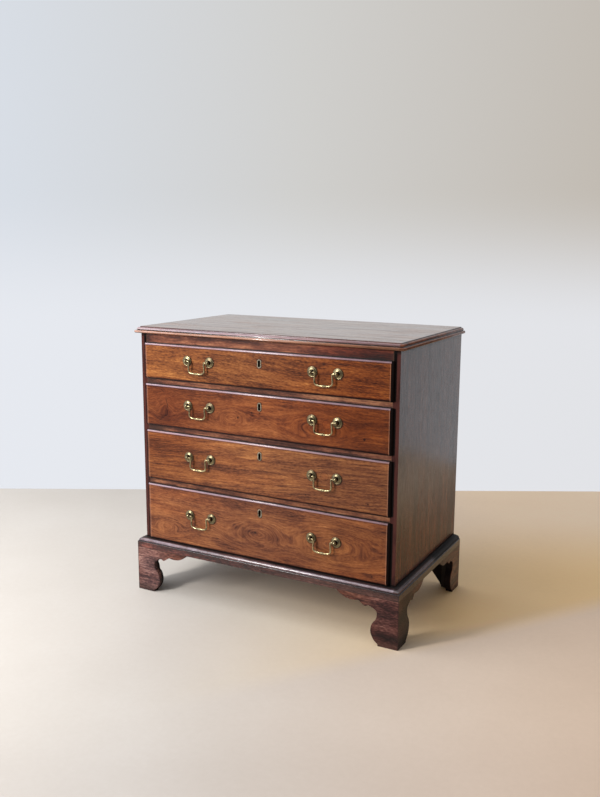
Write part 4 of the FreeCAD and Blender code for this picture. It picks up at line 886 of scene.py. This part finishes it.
def brass(name, pivot=None, tone=1.0, moving=False):
    """Old brass: paler in places, olive and brown in blots and in the hollows."""
    n = Net(name)
    p = n.vec(n.x * 90.0, n.y * 90.0, n.z * 90.0)
    blot = n.noise(p, 4.0, 0.65)
    tiny = n.noise(n.vec(n.x * 700.0, n.y * 700.0, n.z * 700.0), 2.0, 0.6)
    age = n.step(blot + tiny * 0.3, -0.12, 0.18)
    if pivot is not None and not moving:
        # distance from the nearest post's axis
        r = n.away(abs(abs(n.x) - 0.207), n.z, 0.039, pivot)
        rim = n.step(r, 0.0122, 0.0148) * 0.6
        neck = n.step(r, 0.0078, 0.0048) * n.step(n.y, FACE - 0.0075, FACE - 0.0045)
        age = n.most(age, n.most(rim, neck))
        # painted shade: the rose's face round the neck, behind the post's head, is made near black
        darkening = n.step(r, 0.0082, 0.0060) * n.step(n.y, FACE - 0.0075, FACE - 0.0060)
    pale = (0.420, 0.370, 0.280) if name == "brass_escutcheons" else (0.290 * tone, 0.240 * tone, 0.130 * tone)
    colour = n.mix(age, pale, (0.105, 0.080, 0.050))
    # paint that shade round the neck near black
    if pivot is not None and not moving:
        colour = n.mix(darkening * 0.97, colour, (0.004, 0.003, 0.003))
    if name == "brass_escutcheons":
        # the sunk middle round the keyhole is painted near black as shade
        for high in (0.7855, 0.6620, 0.5185, 0.3490):
            ez = n.most(abs(n.z - (high - 0.0350)) - 0.0062, 0.0)
            well = n.step(n.away(n.x, ez, 0.0, 0.0), 0.0042, 0.0036)
            colour = n.mix(well * 0.97, colour, (0.006, 0.005, 0.004))
    rough = age * 0.14 + n.noise(p, 2.0) * 0.10 + 0.29
    return n.finish(
        Base_Color=colour,
        Metallic=1.0,
        Roughness=rough,
        Normal=n.bump(blot * 0.00006 + tiny * 0.000006),
    )


for i in PIVOT:
    M["post_%d" % i] = brass("brass_posts_%d" % i, PIVOT[i], tone=0.88)
M["bail"] = brass("brass_bails", moving=True, tone=1.6)
M["escutcheon"] = brass("brass_escutcheons", tone=1.3)
M["lock"] = brass("brass_locks", tone=0.7)


# ---------------------------------------------------------------- give each node its material

def finish_node(name, material, bevel=0.0, angle=32.0, smooth=35.0):
    o = nodes[name]
    o.data.materials.clear()
    o.data.materials.append(M[material])
    weld = o.modifiers.new("weld", "WELD")
    weld.merge_threshold = 0.00002
    if bevel:
        m = o.modifiers.new("soft_arris", "BEVEL")
        m.width = bevel
        m.segments = 2
        m.limit_method = "ANGLE"
        m.angle_limit = math.radians(angle)
        m.use_clamp_overlap = True
        m.harden_normals = False


for i in (1, 2, 3, 4):
    p = "drawer_%d_" % i
    finish_node(p + "front", "front_%d" % i)
    finish_node(p + "sides", "oak_side")
    finish_node(p + "back", "oak_back")
    finish_node(p + "bottom", "oak_bottom")
    finish_node(p + "handle_posts", "post_%d" % i)
    finish_node(p + "bail_left", "bail")
    finish_node(p + "bail_right", "bail")
    finish_node(p + "escutcheon", "escutcheon")
    finish_node(p + "lock", "lock")
    finish_node(p + "lock_bolt", "lock")
for name, material in {
    "side_left": "side",
    "side_right": "side",
    "top_board": "top",
    "frieze_rail": "frieze",
    "drawer_divider_1": "rail_1",
    "drawer_divider_2": "rail_2",
    "drawer_divider_3": "rail_3",
    "base_moulding_front": "base",
    "base_moulding_left": "base",
    "base_moulding_right": "base",
    "foot_front_left": "feet",
    "foot_front_right": "feet",
    "foot_back_left": "feet",
    "foot_back_right": "feet",
    "bottom_board": "pine_bottom",
    "dust_boards": "pine_dust",
    "back_boards": "pine_back",
    "foot_glue_blocks": "pine_block",
    "drawer_runners": "runner",
    "drawer_stops": "stop",
}.items():
    finish_node(name, material)


# ---------------------------------------------------------------- floor, light and camera

def stage_floor():
    """A plain pale floor whose far edge lies square to the camera, with the pale surround behind it as the wall."""
    yaw = math.radians(28.4176)
    right = Vector((math.cos(yaw), math.sin(yaw), 0.0))
    ahead = Vector((-math.sin(yaw), math.cos(yaw), 0.0))
    back = Vector((-0.512, CASE + 1.18325, 0.0))
    corners = [back - right * 9.0, back + right * 9.0, back + right * 9.0 - ahead * 4.6,
               back - right * 9.0 - ahead * 4.6]
    mesh = bpy.data.meshes.new("floor")
    mesh.from_pydata([tuple(c) for c in corners], [], [(0, 3, 2, 1)])
    mesh.update()
    o = bpy.data.objects.new("floor", mesh)
    scene.collection.objects.link(o)
    n = Net("pale_floor")
    cloud = n.noise(n.vec(n.x * 2.0, n.y * 2.0, 0.0), 4.0, 0.6)
    grit = n.noise(n.vec(n.x * 60.0, n.y * 60.0, 0.0), 3.0, 0.7)
    colour = n.ramp(cloud * 0.9 + grit * 0.5 + 0.5, [
        (0.0, (0.488, 0.445, 0.398)), (0.5, (0.532, 0.492, 0.448)), (1.0, (0.578, 0.544, 0.505))])
    # painted light on the floor: warmer and brighter away from the window to the right, more so further back past a
    # line running back from the chest's front right corner and beside the chest behind its front right foot; bluer far
    # back, and a little darker towards the camera
    along = n.x * right.x + n.y * right.y
    depth = n.x * ahead.x + n.y * ahead.y
    warm = n.step(along, -0.45, 0.9)
    colour = n.mix(warm, colour, (1.40, 1.14, 0.93), "MULTIPLY")
    edge = n.step(depth - along * 0.48, -0.62, -0.49)
    colour = n.mix(warm * edge, colour, (1.36, 1.21, 0.785), "MULTIPLY")
    near_foot = n.blob(n.x, n.y, 0.50, 0.06, 0.13, 0.18)
    colour = n.mix(near_foot * edge, colour, (1.30, 1.20, 1.0), "MULTIPLY")
    colour = n.mix(warm * n.step(depth, 0.05, 0.75), colour, (1.0, 1.13, 1.62), "MULTIPLY")
    colour = n.mix(n.step(depth, -0.72, -1.02), colour, (0.94, 0.93, 0.93), "MULTIPLY")
    n.finish(Base_Color=colour, Roughness=grit * 0.1 + 0.62, Normal=n.bump(grit * 0.0002))
    mesh.materials.append(n.mat)


def area(name, place, target, width, height, power, colour):
    light = bpy.data.lights.new(name, "AREA")
    light.shape, light.size, light.size_y = "RECTANGLE", width, height
    light.energy, light.color = power, colour
    o = bpy.data.objects.new(name, light)
    scene.collection.objects.link(o)
    o.location = place
    o.rotation_mode = "QUATERNION"
    o.rotation_quaternion = (Vector(target) - Vector(place)).to_track_quat("-Z", "Y")
    o.visible_camera = False
    return o


class Sky(Net):
    """The surround: x, y and z are the direction looked in."""

    def __init__(self, name):
        world = bpy.data.worlds.new(name)
        scene.world = world
        world.use_nodes = True
        self.tree = world.node_tree
        self.tree.nodes.clear()
        self.out = self.tree.nodes.new("ShaderNodeOutputWorld")
        coords = self.tree.nodes.new("ShaderNodeTexCoord")
        parts = self.new("ShaderNodeSeparateXYZ", coords.outputs["Generated"])
        self.x, self.y, self.z = (Val(self, s) for s in parts.outputs)


def surround():
    """A pale room with its window to the left; what lights the piece fades to the right and towards the camera."""
    n = Sky("pale_room")
    yaw = math.radians(28.4176)
    across = n.x * math.cos(yaw) + n.y * math.sin(yaw)
    ahead = n.y * math.cos(yaw) - n.x * math.sin(yaw)
    seen = n.ramp(across * 0.5 + 0.5, [
        (0.0, (0.80, 0.85, 0.93)), (0.34, (0.69, 0.73, 0.79)), (0.5, (0.63, 0.625, 0.61)),
        (0.66, (0.540, 0.500, 0.450)), (1.0, (0.43, 0.40, 0.36))])
    low = n.step(n.z, 0.06, -0.10)
    seen = n.mix(low * 0.8, seen, (0.82, 0.84, 0.89))
    level = (
        n.step(ahead, -0.15, 0.45) * 0.50
        + n.step(-across, 0.0, 0.7) * 0.16
        + n.step(-across, 0.74, 0.96) * 0.55
        + n.step(n.z, 0.15, 0.8) * 0.12
        + 0.10
    )
    tone = n.ramp(across * 0.5 + 0.5, [(0.0, (0.93, 0.98, 1.08)), (0.5, (1.0, 1.0, 1.0)), (1.0, (0.97, 0.99, 1.06))])
    lit = n.new("ShaderNodeVectorMath", tone, operation="SCALE")
    n.put(lit.inputs["Scale"], level)
    path = n.tree.nodes.new("ShaderNodeLightPath")
    colour = n.mix(Val(n, path.outputs["Is Camera Ray"]), Val(n, lit.outputs[0]), seen)
    bg = n.tree.nodes.new("ShaderNodeBackground")
    n.put(bg.inputs["Color"], colour)
    bg.inputs["Strength"].default_value = 1.0
    n.tree.links.new(bg.outputs[0], n.out.inputs["Surface"])


def make_camera():
    yaw, pitch, roll = (math.radians(a) for a in (28.4176, 10.5311, -0.2797))
    fwd = Vector((-math.sin(yaw) * math.cos(pitch), math.cos(yaw) * math.cos(pitch), -math.sin(pitch)))
    right = Vector((math.cos(yaw), math.sin(yaw), 0.0))
    down = fwd.cross(right)
    r = math.cos(roll) * right + math.sin(roll) * down
    d = -math.sin(roll) * right + math.cos(roll) * down
    data = bpy.data.cameras.new("camera")
    data.sensor_width = 36.0
    data.sensor_fit = "AUTO"
    data.lens = 38.968
    data.clip_start, data.clip_end = 0.05, 60.0
    o = bpy.data.objects.new("camera", data)
    scene.collection.objects.link(o)
    m = Matrix.Identity(4)
    for row in range(3):
        m[row][0], m[row][1], m[row][2] = r[row], -d[row], -fwd[row]
        m[row][3] = (1.2383, CASE - 2.056, 1.0967)[row]
    o.matrix_world = m
    scene.camera = o


stage_floor()
surround()
area("window", (-1.25, -2.30, 1.55), (-1.05, 0.0, 0.75), 0.46, 0.9, 72.0, (1.0, 0.985, 0.965))
area("overhead", (-1.0, -0.95, 2.45), (-1.0, -0.15, 0.60), 2.9, 1.5, 28.0, (0.95, 0.975, 1.0))
area("front_strip", (-1.15, -1.70, 2.10), (-1.0, -0.24, 0.70), 2.1, 0.7, 15.0, (0.95, 0.97, 1.0))
area("side_window", (-2.9, -0.2, 1.3), (0.0, 0.0, 0.45), 2.0, 1.8, 18.0, (0.93, 0.96, 1.0))
make_camera()
scene.view_settings.view_transform = "Standard"
scene.view_settings.look = "None"
scene.view_settings.exposure = 0.0
scene.view_settings.gamma = 1.0
